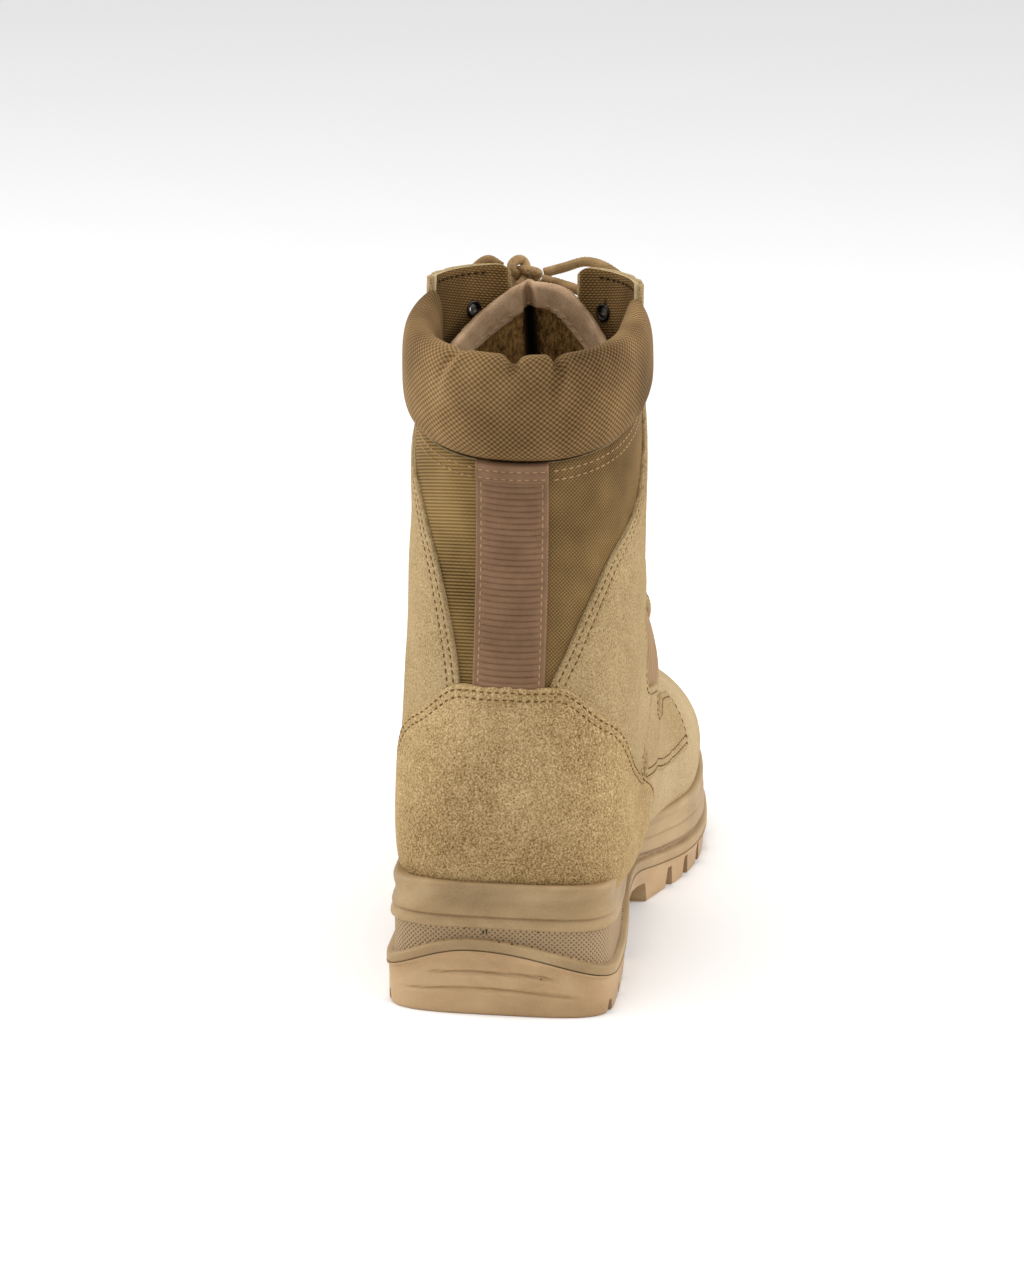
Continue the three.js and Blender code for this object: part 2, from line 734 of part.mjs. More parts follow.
// Routes of the bow's cords, each from the knot: x, y and z.
const LACE_ROUTES = {
  lace_loop_lateral: [
    [131, 18, 239],
    [129, 23, 241.6],
    [124.5, 30, 235.5],
    [117.5, 36.5, 227],
    [112.5, 38.5, 215],
    [111, 38, 203],
    [115, 34, 192],
    [121.5, 27.5, 190],
    [127.5, 21, 198],
    [131, 16, 212],
    [133, 13, 225],
    [132.5, 12.5, 230.4],
  ],
  lace_loop_medial: [
    [133, 3, 237],
    [134.2, -4, 239],
    [133.5, -12, 241.6],
    [130.5, -20, 240.2],
    [124.5, -27.5, 235.5],
    [117, -33.5, 224.5],
    [112, -36, 212],
    [112, -34.5, 199],
    [117, -29.5, 190.5],
    [124, -22, 190],
    [129.5, -13, 198],
    [132.5, -4, 212],
    [133, 4, 224.5],
    [132, 7.5, 230.4],
  ],
  lace_end_lateral: [
    [138.4, 12.5, 236],
    [139.5, 15, 227],
    [137.5, 19, 208],
    [134, 22, 190],
    [130.5, 24, 172],
  ],
  lace_end_medial: [
    [138.4, 8, 236],
    [139.8, 3, 226],
    [138.5, -4, 207],
    [135, -9, 188],
    [131.5, -11.5, 169],
  ],
};
const LACE_STEP = 9; // length of cord for each step of its tube
function lacePiece(route) {
  const points = route.map(([x, y, z]) => new THREE.Vector3(x, y, z));
  const length = new THREE.CatmullRomCurve3(points).getLength();
  return cord(points, Math.round(length / LACE_STEP));
}

// Both halves of the lace, crossing from each pair of eyelets to the next, clear of the leather,
// and from the highest pair up to the knot.
const mix = (a, b, t) => a + (b - a) * t;
const KNOT_ENTRIES = [
  [
    [125, 19, 233.5],
    [127.5, 17.6, 235],
  ],
  [
    [123.5, -13, 231],
    [127.5, -4, 234.2],
    [129, 3, 235.5],
  ],
];
function laceCrossings() {
  const spots = eyeletSpots();
  const rise = EYELET.lip + 4 * GAP + LACE_RADIUS;
  const halves = [0, 1].map((start) => {
    const stops = steps(0, LACED_PAIRS - 1, LACED_PAIRS - 1).map((i) => spots[2 * i + ((i + start) % 2)]);
    const points = stops.slice(1).flatMap((b, i) =>
      [0, 0.3, 0.5, 0.7].map((t) => {
        const dip = Math.sin(Math.PI * t) ** 4 * (start ? 0.6 : 2.4);
        return lifted(mix(stops[i].u, b.u, t), mix(stops[i].turn, b.turn, t), rise - dip);
      }),
    );
    const last = stops.at(-1);
    const entry = KNOT_ENTRIES[last.turn > 0 ? 0 : 1].map(([x, y, z]) => new THREE.Vector3(x, y, z));
    return cord([...points, lifted(last.u, last.turn, rise), ...entry], 38);
  });
  return halves[0].add(halves[1]);
}

// ---------------------------------------------------------------- the boot
const paint = {
  suede: new THREE.MeshStandardMaterial({ color: 0xb79a6a, roughness: 0.95, metalness: 0 }),
  nylon: new THREE.MeshStandardMaterial({ color: 0x97784e, roughness: 0.8, metalness: 0 }),
  webbing: new THREE.MeshStandardMaterial({ color: 0x7b5c46, roughness: 0.75, metalness: 0 }),
  lining: new THREE.MeshStandardMaterial({ color: 0x6e5230, roughness: 0.95, metalness: 0 }),
  midsole: new THREE.MeshStandardMaterial({ color: 0xa08a66, roughness: 0.6, metalness: 0 }),
  outsole: new THREE.MeshStandardMaterial({ color: 0xb8926a, roughness: 0.65, metalness: 0 }),
  lace: new THREE.MeshStandardMaterial({ color: 0x8e7148, roughness: 0.85, metalness: 0 }),
  bronze: new THREE.MeshStandardMaterial({ color: 0x4a3d30, roughness: 0.4, metalness: 1 }),
};

const pieces = new THREE.Group();
function piece(name, made, material) {
  const mesh = new THREE.Mesh(geometryOf(made), material);
  mesh.name = name;
  pieces.add(mesh);
}

piece("outsole", outsoleSolid(), paint.outsole);
piece("midsole", midsoleSolid(), paint.midsole);
piece("insole", insoleSolid(), paint.lining);
const { vamp, upper } = upperSolids();
piece("vamp", vamp, paint.suede);
piece("upper", upper, paint.suede);
piece("heel_counter", heelCounterSolid(), paint.suede);
piece("collar_pad", collarPadSolid(), paint.nylon);
piece("back_strap", backStrapSolid(), paint.webbing);
piece("tongue", tongueSolid(), paint.webbing);
piece("lace_crossings", laceCrossings(), paint.lace);
piece("lace_knot", knotSolid(), paint.lace);
Object.entries(LACE_ROUTES).forEach(([name, route]) => piece(name, lacePiece(route), paint.lace));
eyeletSpots().forEach((spot) => piece(spot.name, eyeletSolid(spot), paint.bronze));

// The free lace doesn't count in the box that sets the origin.
const isFreeLace = (mesh) => mesh.name === "lace_knot" || mesh.name in LACE_ROUTES;
const box = new THREE.Box3();
pieces.children.filter((mesh) => !isFreeLace(mesh)).forEach((mesh) => box.expandByObject(mesh));
const middle = box.getCenter(new THREE.Vector3());
pieces.position.set(-middle.x, -middle.y, -box.min.z);

const boot = new THREE.Group();
boot.name = "combat_boot";
boot.add(pieces);

export default boot;
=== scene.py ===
# Looks of a laced combat boot for the left foot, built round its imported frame.
# Sizes are in millimetres in the boot's own axes: X from the heel's back to the toe, +Y lateral,
# Z up from the ground. place() turns them into the frame's metres.
import math

import bmesh
import bpy
import numpy as np
from mathutils import Matrix, Vector


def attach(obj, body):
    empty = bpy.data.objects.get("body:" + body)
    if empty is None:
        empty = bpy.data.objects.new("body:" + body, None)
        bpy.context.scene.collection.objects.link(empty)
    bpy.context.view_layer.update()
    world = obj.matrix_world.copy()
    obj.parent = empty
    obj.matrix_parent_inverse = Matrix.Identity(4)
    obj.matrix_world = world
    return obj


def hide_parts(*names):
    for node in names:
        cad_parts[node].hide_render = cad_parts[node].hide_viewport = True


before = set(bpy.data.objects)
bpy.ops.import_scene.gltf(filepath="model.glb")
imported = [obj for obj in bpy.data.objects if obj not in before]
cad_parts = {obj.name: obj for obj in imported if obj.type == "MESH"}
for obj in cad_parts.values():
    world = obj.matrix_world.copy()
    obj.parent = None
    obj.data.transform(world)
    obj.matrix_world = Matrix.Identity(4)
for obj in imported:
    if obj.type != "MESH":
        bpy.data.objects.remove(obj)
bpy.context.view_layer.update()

# ------------------------------------------------------------------ driving dimensions
LENGTH = 304.0
SHAFT_HEIGHT = 242.0
WALL = 2.6
SHIFT = np.array([-152.0, -1.211, 0.0])  # from the boot's own origin to the frame's
MM = 0.001

NYLON_LIFT = -0.9  # the nylon under the suede panels, off the last
VAMP_LIFT = 0.1
QUARTER_LIFT = 0.9
EYESTAY_LIFT = 1.5
COUNTER_LIFT = 2.1
STRAP_LIFT = 0.9
LACE_RADIUS = 1.75
EYELET_PAIRS = 8
EYELET_ROWS = {"low": 5.2, "high": 17.2, "lateral": 13.5, "medial": 10.8}


# ------------------------------------------------------------------ curves
def along(rows, x):
    """A smooth value at x, from rows of (x, value) in rising x."""
    rows = np.asarray(rows, float)
    xs, values = rows[:, 0], rows[:, 1]
    x = np.clip(np.asarray(x, float), xs[0], xs[-1])
    count = len(xs)
    before = np.maximum(np.arange(count) - 1, 0)
    after = np.minimum(np.arange(count) + 1, count - 1)
    slope = (values[after] - values[before]) / (xs[after] - xs[before])
    i = np.clip(np.searchsorted(xs, x, side="right") - 1, 0, count - 2)
    span = xs[i + 1] - xs[i]
    t = (x - xs[i]) / span
    rise = t * t * (3 - 2 * t)
    bend = (1 - t) * slope[i] - t * slope[i + 1]
    return values[i] + (values[i + 1] - values[i]) * rise + span * t * (1 - t) * bend


def rounding(x, end, reach, power):
    """1 until x is `reach` from `end`, then down to 0 there, as a rounded corner does."""
    share = np.clip(1 - np.abs(end - x) / reach, 0, 1)
    return np.maximum(1 - share**power, 0) ** (1 / power)


def smooth(low, high, x):
    t = np.clip((np.asarray(x, float) - low) / (high - low), 0, 1)
    return t * t * (3 - 2 * t)


def bell(x, middle, width):
    return np.exp(-(((x - middle) / width) ** 2))


def mix(a, b, t):
    return a + (b - a) * t


def rolled(distance, radius):
    """0 at an edge, rising to 1 at that distance from it, as a rounded edge does."""
    return np.sqrt(np.maximum(1 - (1 - np.clip(distance / radius, 0, 1)) ** 2, 0))


def unit(vectors):
    return vectors / np.linalg.norm(vectors, axis=-1, keepdims=True)


def lengths_along(line):
    """How far along a polyline each of its points is."""
    return np.concatenate([[0], np.cumsum(np.linalg.norm(np.diff(line, axis=0), axis=1))])


def resample(line, pitch):
    """Points about that far apart along a polyline."""
    lengths = lengths_along(line)
    at = np.linspace(0, lengths[-1], max(int(lengths[-1] / pitch), 2) + 1)
    return on_line(line, lengths, at)


def on_line(line, lengths, at):
    return np.stack([np.interp(at, lengths, values) for values in line.T], -1)


# ------------------------------------------------------------------ the last
SEAT = [(0, 34), (75, 33), (130, 24.5), (190, 17), (240, 17.5), (296, 22)]  # x, height
RIM = [(0, 47), (60, 45.5), (110, 38), (160, 31), (220, 29.5), (270, 32.5), (304, 37)]
# A row for each section, from the toe round the heel to the collar. A base height of None
# follows the seat.
SECTION_COLUMNS = "baseX baseZ ridgeX ridgeZ lateral centre medial widest baseRound ridgeRound".split()
SECTION_ROWS = [
    (296, None, 296, 61, 33, -6, -41, 0.4, 3.2, 2.3),
    (272, None, 275, 64, 38, -6, -45, 0.4, 3.2, 2.2),
    (248, None, 254, 67.5, 45.5, -5.5, -48.5, 0.4, 3.2, 2.1),
    (224, None, 233, 73.5, 51, -5, -50.5, 0.4, 3.2, 2.05),
    (198, None, 210, 82.5, 52.5, -4, -49.8, 0.37, 3.3, 1.95),
    (170, None, 188, 93, 50, -3, -44.8, 0.37, 3.5, 1.9),
    (140, None, 169, 103.5, 45.5, -2, -41.8, 0.42, 4.0, 1.95),
    (108, None, 154, 114.5, 42, -1, -42.8, 0.54, 4.8, 2.1),
    (74, None, 143, 125.5, 41, 0, -44.2, 0.62, 5.4, 2.3),
    (42, None, 135, 137, 40.4, 0, -43.6, 0.6, 5.6, 2.45),
    (14, 37.5, 129, 148, 40, 0, -41.8, 0.52, 4.8, 2.6),
    (5.5, 54, 125.5, 158.5, 39.6, 0, -41, 0.46, 3.7, 2.6),
    (6, 78, 123.3, 169, 39.3, 0, -40.8, 0.45, 2.85, 2.5),
    (10, 103, 122, 179.5, 39.3, 0, -40.6, 0.46, 2.4, 2.4),
    (14.5, 129, 121.5, 189.5, 39.9, 0, -40.4, 0.47, 2.35, 2.3),
    (17, 154, 121.8, 200, 40, 0.2, -40.3, 0.48, 2.3, 2.25),
    (17, 180, 122.4, 211, 40.2, 0.6, -39.6, 0.48, 2.3, 2.25),
    (15.5, 206, 123.2, 225, 40.6, 1.2, -38.5, 0.48, 2.3, 2.35),
    (13.5, 231, 124, 242, 41, 1.7, -37.6, 0.48, 2.3, 2.55),
    (12.5, 248, 124.5, 256, 41.2, 1.7, -37.6, 0.48, 2.3, 2.6),
]
COLLAR_ROW = 18
COLUMNS = {
    name: np.array([along(SEAT, row[0]) if row[i] is None else row[i] for row in SECTION_ROWS], float)
    for i, name in enumerate(SECTION_COLUMNS)
}
TOE = {"x": 296, "y": -6, "z": 36, "reachY": 50, "reachZ": 36, "power": 2.3}


def column(name, u):
    """Catmull-Rom down a column, whose values are one step of u apart."""
    values = COLUMNS[name]
    last = len(values) - 1
    u = np.asarray(u, float)
    i = np.clip(np.floor(u).astype(int), 0, last - 1)
    t = u - i
    a, b, c, d = (values[np.clip(i + k, 0, last)] for k in (-1, 0, 1, 2))
    return b + 0.5 * t * (c - a + t * (2 * a - 5 * b + 4 * c - d + t * (3 * (b - c) + d - a)))


def last_point(u, turn):
    """u counts sections from the toe. turn runs once round a section: 0 at the ridge, 0.25
    lateral, 0.5 at the base, 0.75 medial."""
    u, turn = np.broadcast_arrays(np.asarray(u, float), np.asarray(turn, float))
    c, s = np.cos(turn * 2 * np.pi), np.sin(turn * 2 * np.pi)
    power = 2 / np.where(c >= 0, column("ridgeRound", u), column("baseRound", u))
    widest = column("widest", u)
    rise = np.abs(c) ** power
    share = np.where(c >= 0, widest + (1 - widest) * rise, widest * (1 - rise))
    side = np.where(s >= 0, column("lateral", u), column("medial", u))
    x = mix(column("baseX", u), column("ridgeX", u), share)
    y = mix(column("centre", u), side, np.abs(s) ** power)
    z = mix(column("baseZ", u), column("ridgeZ", u), share)
    y = TOE["y"] + (y - TOE["y"]) * rounding(x, TOE["x"], TOE["reachY"], TOE["power"])
    z = TOE["z"] + (z - TOE["z"]) * rounding(x, TOE["x"], TOE["reachZ"], TOE["power"])
    return np.stack([x, y, z], -1)


def last_normal(u, turn):
    step = 0.004
    u = np.maximum(np.asarray(u, float), 1.01 * step)
    along_u = last_point(u + step, turn) - last_point(u - step, turn)
    around = last_point(u, turn + step) - last_point(u, turn - step)
    return unit(np.cross(around, along_u))


def lifted(u, turn, lift):
    return last_point(u, turn) + last_normal(u, turn) * np.asarray(lift, float)[..., None]


def turn_at(u, y, on_ridge=True):
    """The turn at which section u is y from its centre line."""
    y = np.asarray(y, float)
    side = np.where(y >= 0, column("lateral", u), column("medial", u))
    power = column("ridgeRound" if on_ridge else "baseRound", u) / 2
    share = np.minimum(np.abs(y / (side - column("centre", u))), 1) ** power
    angle = np.arcsin(share) / (2 * np.pi) * np.sign(y)
    return angle if on_ridge else 0.5 - angle


# The throat: u at its foot, how far in u it goes on widening, and half its width there and above.
THROAT = {"foot": 4.5, "spread": 6, "low": 9.0, "high": 12.5}


def throat_half(u):
    return mix(THROAT["low"], THROAT["high"], np.clip((u - THROAT["foot"]) / THROAT["spread"], 0, 1))


PAD = {"end": 0.2, "seamBack": 16.48, "seamFront": 16.56, "depth": 6.2}


def pad_seam(turn):
    forward = np.minimum(np.abs(turn - 0.5) / (0.5 - PAD["end"]), 1)
    return PAD["seamBack"] + (PAD["seamFront"] - PAD["seamBack"]) * forward**2


# The heel counter's top and front edges: how far round from the base, and u there.
COUNTER_EDGE = [(0, 13.47), (0.07, 13.33), (0.124, 12.71), (0.169, 12.16), (0.21, 11.35), (0.2325, 10.65)]
COUNTER_EDGE += [(0.2385, 10.15), (0.2389, 9.8)]
COUNTER_FRONT = [(0, 8.6), (0.17, 8.45), (0.2, 8.2), (0.21, 8.18), (0.22, 8.4), (0.2295, 8.75)]
COUNTER_FRONT += [(0.2348, 9.22), (0.2375, 9.55), (0.2389, 9.8)]
COUNTER_HALF_TURN = 0.2388


# ------------------------------------------------------------------ meshes
def place(points):
    """Boot millimetres to the frame's metres."""
    return (np.asarray(points, float).reshape(-1, 3) + SHIFT) * MM


def add_object(name, data):
    made = bpy.data.objects.new(name, data)
    bpy.context.scene.collection.objects.link(made)
    return made


def make_mesh(name, points, faces, materials, kinds=None, weave=None):
    """An object from points in boot millimetres. kinds is a material number for each face. weave
    holds where each point lies along and across its cloth, in metres, and any third part painted shade."""
    mesh = bpy.data.meshes.new(name)
    mesh.from_pydata(place(points).tolist(), [], [tuple(map(int, f)) for f in faces])
    for material in materials:
        mesh.materials.append(material)
    if kinds is not None:
        mesh.polygons.foreach_set("material_index", np.asarray(kinds, np.int32))
    mesh.polygons.foreach_set("use_smooth", np.ones(len(mesh.polygons), bool))
    if weave is not None:
        spots = np.zeros((len(mesh.vertices), 3), np.float32)
        spots[:, : weave.shape[-1]] = weave.reshape(-1, weave.shape[-1]) * MM
        mesh.attributes.new("weave", "FLOAT_VECTOR", "POINT").data.foreach_set("vector", spots.ravel())
    mesh.update()
    return add_object(name, mesh)


def ring_faces(rows, columns, start=0, closed=True):
    """Quads between rows of points, each row a ring, or a line where closed is false."""
    row = np.arange(rows - 1)[:, None] * columns + start
    here = np.arange(columns if closed else columns - 1)[None, :]
    after = (here + 1) % columns
    quads = np.stack([row + here, row + after, row + columns + after, row + columns + here], -1)
    return quads.reshape(-1, 4)


def slab_faces(n, m):
    """Faces of a closed slab: n by m points on its outer face, then as many on its inner one."""
    size = n * m
    outer = ring_faces(n, m, closed=False)
    inner = outer[:, ::-1] + size
    grid = np.arange(size).reshape(n, m)
    border = np.concatenate([grid[0, :-1], grid[:-1, -1], grid[-1, :0:-1], grid[:0:-1, 0]])
    after = np.roll(border, -1)
    sides = np.stack([after, border, border + size, after + size], -1)
    return outer, inner, sides


def reworked(made, change):
    """The piece, once change has been run on an editable copy of its mesh."""
    work = bmesh.new()
    work.from_mesh(made.data)
    change(work)
    work.to_mesh(made.data)
    work.free()
    return made


def face_out(made):
    """Turns every face of a closed piece outwards."""
    return reworked(made, lambda work: bmesh.ops.recalc_face_normals(work, faces=work.faces))


def weld(made, gap=0.01):
    """Joins the points that meet."""
    return reworked(made, lambda work: bmesh.ops.remove_doubles(work, verts=work.verts, dist=gap * MM))


def slab(name, outer, inner, looks, kinds=None, weave=None):
    """A closed slab between two grids of points. weave is given for each point of the outer one."""
    points = np.concatenate([outer.reshape(-1, 3), inner.reshape(-1, 3)])
    if weave is not None:
        weave = np.concatenate([weave.reshape(-1, weave.shape[-1])] * 2)
    return make_mesh(name, points, np.concatenate(slab_faces(*outer.shape[:2])), looks, kinds, weave)


END_STEPS = np.array([0.0, 0.15, 0.4, 0.75])


def steps_near_ends(count, near):
    """Rising values from 0 to 1, closer together within `near` of each end."""
    ends = END_STEPS * near
    middle = np.linspace(near, 1 - near, count)
    return np.concatenate([ends, middle, 1 - ends[::-1]])


def panel_grid(rows, columns, near_rows, near_columns):
    steps = steps_near_ends(rows, near_rows), steps_near_ends(columns, near_columns)
    return np.meshgrid(*steps, indexing="ij")


def edge_distance(points, edges):
    """How far each point of a grid is from the nearest of the edge points."""
    flat = points.reshape(-1, 3)
    edges = edges.reshape(-1, 3)
    nearest = np.full(len(flat), 1e9)
    for part in np.array_split(edges, max(1, len(edges) // 60)):
        gap = np.linalg.norm(flat[:, None, :] - part[None, :, :], axis=-1).min(1)
        nearest = np.minimum(nearest, gap)
    return nearest.reshape(points.shape[:-1])


def arc_lengths(points, axis):
    gaps = np.linalg.norm(np.diff(points, axis=axis), axis=-1)
    start = np.zeros_like(np.take(gaps, [0], axis=axis))
    return np.concatenate([start, np.cumsum(gaps, axis=axis)], axis=axis)


def cloth_places(points):
    """Where each point of a grid lies along and across it, in millimetres."""
    lengthways = arc_lengths(points, 0).mean(1, keepdims=True) + np.zeros(points.shape[:2])
    across = arc_lengths(points, 1)
    across = across - across.mean(1, keepdims=True)
    return np.stack([across, lengthways], -1)


# ------------------------------------------------------------------ materials
def srgb(red, green, blue):
    """A colour from 0 to 255 as seen, made linear."""
    parts = [value / 255 for value in (red, green, blue)]
    return [p / 12.92 if p <= 0.04045 else ((p + 0.055) / 1.055) ** 2.4 for p in parts] + [1.0]


class Shader:
    """A Principled material and the nodes that feed it."""

    def __init__(self, name, **sockets):
        self.material = bpy.data.materials.new(name)
        self.material.use_nodes = True
        self.tree = self.material.node_tree
        self.surface = self.tree.nodes["Principled BSDF"]
        for socket, value in sockets.items():
            self.surface.inputs[socket.replace("_", " ")].default_value = value

    def node(self, kind, inputs=(), output=0, **settings):
        made = self.tree.nodes.new(kind)
        for key, value in settings.items():
            setattr(made, key, value)
        for socket, value in dict(inputs).items():
            if isinstance(value, bpy.types.NodeSocket):
                self.tree.links.new(value, made.inputs[socket])
            else:
                made.inputs[socket].default_value = value
        return made.outputs[output]

    def spot(self):
        return self.node("ShaderNodeTexCoord", output="Object")

    def cloth(self):
        return self.node("ShaderNodeAttribute", attribute_name="weave", output="Vector")

    def stretch(self, vector, scale):
        return self.node("ShaderNodeMapping", {"Vector": vector, "Scale": scale})

    def noise(self, vector, scale, detail=3.0, roughness=0.6, distortion=0.0):
        inputs = {"Vector": vector, "Scale": scale, "Detail": detail, "Roughness": roughness}
        return self.node("ShaderNodeTexNoise", {**inputs, "Distortion": distortion})

    def sum(self, a, b, share_a=1.0, share_b=1.0):
        weighted = self.node("ShaderNodeMath", {0: a, 1: share_a}, operation="MULTIPLY")
        inputs = {0: b, 1: share_b, 2: weighted}
        return self.node("ShaderNodeMath", inputs, operation="MULTIPLY_ADD")

    def times(self, a, b):
        return self.node("ShaderNodeMath", {0: a, 1: b}, operation="MULTIPLY")

    def wave(self, value, pitch):
        """A sine of that pitch in millimetres, from -1 to 1, along a distance in metres."""
        turns = self.node("ShaderNodeMath", {0: value, 1: 2 * math.pi / (pitch * MM)}, operation="MULTIPLY")
        return self.node("ShaderNodeMath", {0: turns}, operation="SINE")

    def part(self, vector, axis):
        return self.node("ShaderNodeSeparateXYZ", {"Vector": vector}, output=axis)

    def ramp(self, value, stops):
        made = self.tree.nodes.new("ShaderNodeValToRGB")
        band = made.color_ramp
        while len(band.elements) < len(stops):
            band.elements.new(0.5)
        for element, (position, colour) in zip(band.elements, stops):
            element.position = position
            element.color = colour
        self.tree.links.new(value, made.inputs["Fac"])
        return made.outputs["Color"]

    def finish(self, colour, height, depth, strength=1.0, roughness=None):
        """colour and height feed the surface. depth is the height's relief in millimetres."""
        inputs = {"Height": height, "Distance": depth * MM, "Strength": strength}
        bump = self.node("ShaderNodeBump", inputs, output="Normal")
        self.tree.links.new(colour, self.surface.inputs["Base Color"])
        self.tree.links.new(bump, self.surface.inputs["Normal"])
        if roughness is not None:
            self.tree.links.new(roughness, self.surface.inputs["Roughness"])
        return self.material


def suede(name, dark, middle, light, grain=1.0):
    """Brushed nap: broad cloudy patches, short fibres and fine pits."""
    sheen = {"Sheen_Weight": 0.5, "Sheen_Roughness": 0.5, "Sheen_Tint": light}
    s = Shader(name, Roughness=0.96, Specular_IOR_Level=0.12, **sheen)
    spot = s.spot()
    clouds = s.noise(spot, 26, 2, 0.5, 0.2)
    strokes = s.noise(s.stretch(spot, (1, 1, 0.7)), 260, 2, 0.5, 0.4)
    fibres = s.noise(spot, 1500, 2, 0.6, 0.2)
    body = s.sum(clouds, strokes, 0.22, 0.1)
    tone = s.sum(body, fibres, 1.0, 0.68)
    stops = [(0.33, dark), (0.5, middle), (0.67, light)]
    height = s.sum(fibres, strokes, 0.85, 0.15)
    return s.finish(s.ramp(tone, stops), height, 0.6 * grain)


def woven(name, dark, middle, light, pitch, rows=0.0, depth=0.22):
    """A plain weave, each thread over and under the next. rows makes its lengthways lines louder."""
    sheen = {"Sheen_Weight": 0.3, "Sheen_Roughness": 0.45, "Sheen_Tint": light}
    s = Shader(name, Roughness=0.78, Specular_IOR_Level=0.1, **sheen)
    cloth = s.cloth()
    wander = s.noise(s.spot(), 260, 2, 0.5)
    across = s.wave(s.sum(s.part(cloth, "X"), wander, 1.0, 0.0004), 2 * pitch)
    lengthways = s.wave(s.sum(s.part(cloth, "Y"), wander, 1.0, 0.0004), 2 * pitch)
    checks = s.times(across, lengthways)
    lines = s.wave(s.part(cloth, "Y"), pitch)
    weave = s.sum(checks, lines, 0.5 * (1 - rows), 0.5 * rows)
    clouds = s.noise(s.spot(), 22, 3, 0.6)
    tone = s.sum(weave, clouds, 0.34, 0.7)
    stops = [(0.12, dark), (0.36, middle), (0.62, light)]
    return s.finish(s.ramp(tone, stops), weave, depth)


def rubber(name, dark, middle, light, roughness=0.55):
    """Moulded rubber: a satin skin with faint flow marks."""
    s = Shader(name, Roughness=roughness, Specular_IOR_Level=0.32)
    spot = s.spot()
    clouds = s.noise(s.stretch(spot, (0.5, 1, 1.6)), 26, 3, 0.55, 0.6)
    grain = s.noise(spot, 1500, 2, 0.6)
    tone = s.sum(clouds, grain, 0.8, 0.2)
    stops = [(0.36, dark), (0.5, middle), (0.64, light)]
    skin = s.ramp(clouds, [(0.3, [roughness - 0.06] * 3 + [1]), (0.7, [roughness + 0.08] * 3 + [1])])
    return s.finish(s.ramp(tone, stops), grain, 0.05, roughness=skin)


def knurled(name, dark, light, pitch=2.0):
    """Moulded rubber covered with small raised diamonds, the ground between them darkened as painted shade.
    """
    s = Shader(name, Roughness=0.7, Specular_IOR_Level=0.25)
    cloth = s.cloth()
    x, y = s.part(cloth, "X"), s.part(cloth, "Y")
    studs = s.sum(s.wave(s.sum(x, y, 1.0, 1.15), pitch), s.wave(s.sum(x, y, 1.0, -1.15), pitch), 0.5, 0.5)
    height = s.node("ShaderNodeMath", {0: studs, 1: 0.5, 2: 0.5}, operation="MULTIPLY_ADD")
    # The ramp darkens the low ground between the diamonds: painted shade.
    return s.finish(s.ramp(height, [(0.1, dark), (0.45, light)]), height, 0.4)


def brushed(name, dark, middle, light):
    """The lining: a brushed mesh whose hairs run up and down. The weave's Z part darkens it with painted
    shade, down to a near black first stop.
    """
    s = Shader(name, Roughness=0.95, Specular_IOR_Level=0.1)
    spot = s.spot()
    hairs = s.noise(s.stretch(spot, (1, 1, 0.5)), 900, 3, 0.65, 0.4)
    clouds = s.noise(spot, 45, 3, 0.6)
    # The weave's Z part lowers the tone: painted shade down the tongue's fold.
    tone = s.sum(s.sum(hairs, clouds, 0.65, 0.35), s.part(s.cloth(), "Z"), 1.0, -0.42)
    # Only that painted shade reaches the near black first stop.
    stops = [(0.06, srgb(8, 5, 3)), (0.37, dark), (0.5, middle), (0.64, light)]
    return s.finish(s.ramp(tone, stops), hairs, 0.5)


def plain_cloth(name, dark, light, roughness=0.6, depth=0.05):
    """Close-woven binding and thread: nearly smooth, with faint shading along it."""
    sheen = {"Sheen_Weight": 0.2, "Sheen_Roughness": 0.4, "Sheen_Tint": light}
    s = Shader(name, Roughness=roughness, Specular_IOR_Level=0.14, **sheen)
    spot = s.spot()
    clouds = s.noise(spot, 90, 3, 0.55)
    grain = s.noise(spot, 1400, 2, 0.6)
    tone = s.sum(clouds, grain, 0.7, 0.3)
    return s.finish(s.ramp(tone, [(0.36, dark), (0.64, light)]), grain, depth)


def metal(name, dark, light):
    s = Shader(name, Metallic=0.9, Roughness=0.42)
    spot = s.spot()
    clouds = s.noise(spot, 400, 3, 0.6)
    return s.finish(s.ramp(clouds, [(0.35, dark), (0.65, light)]), clouds, 0.03)


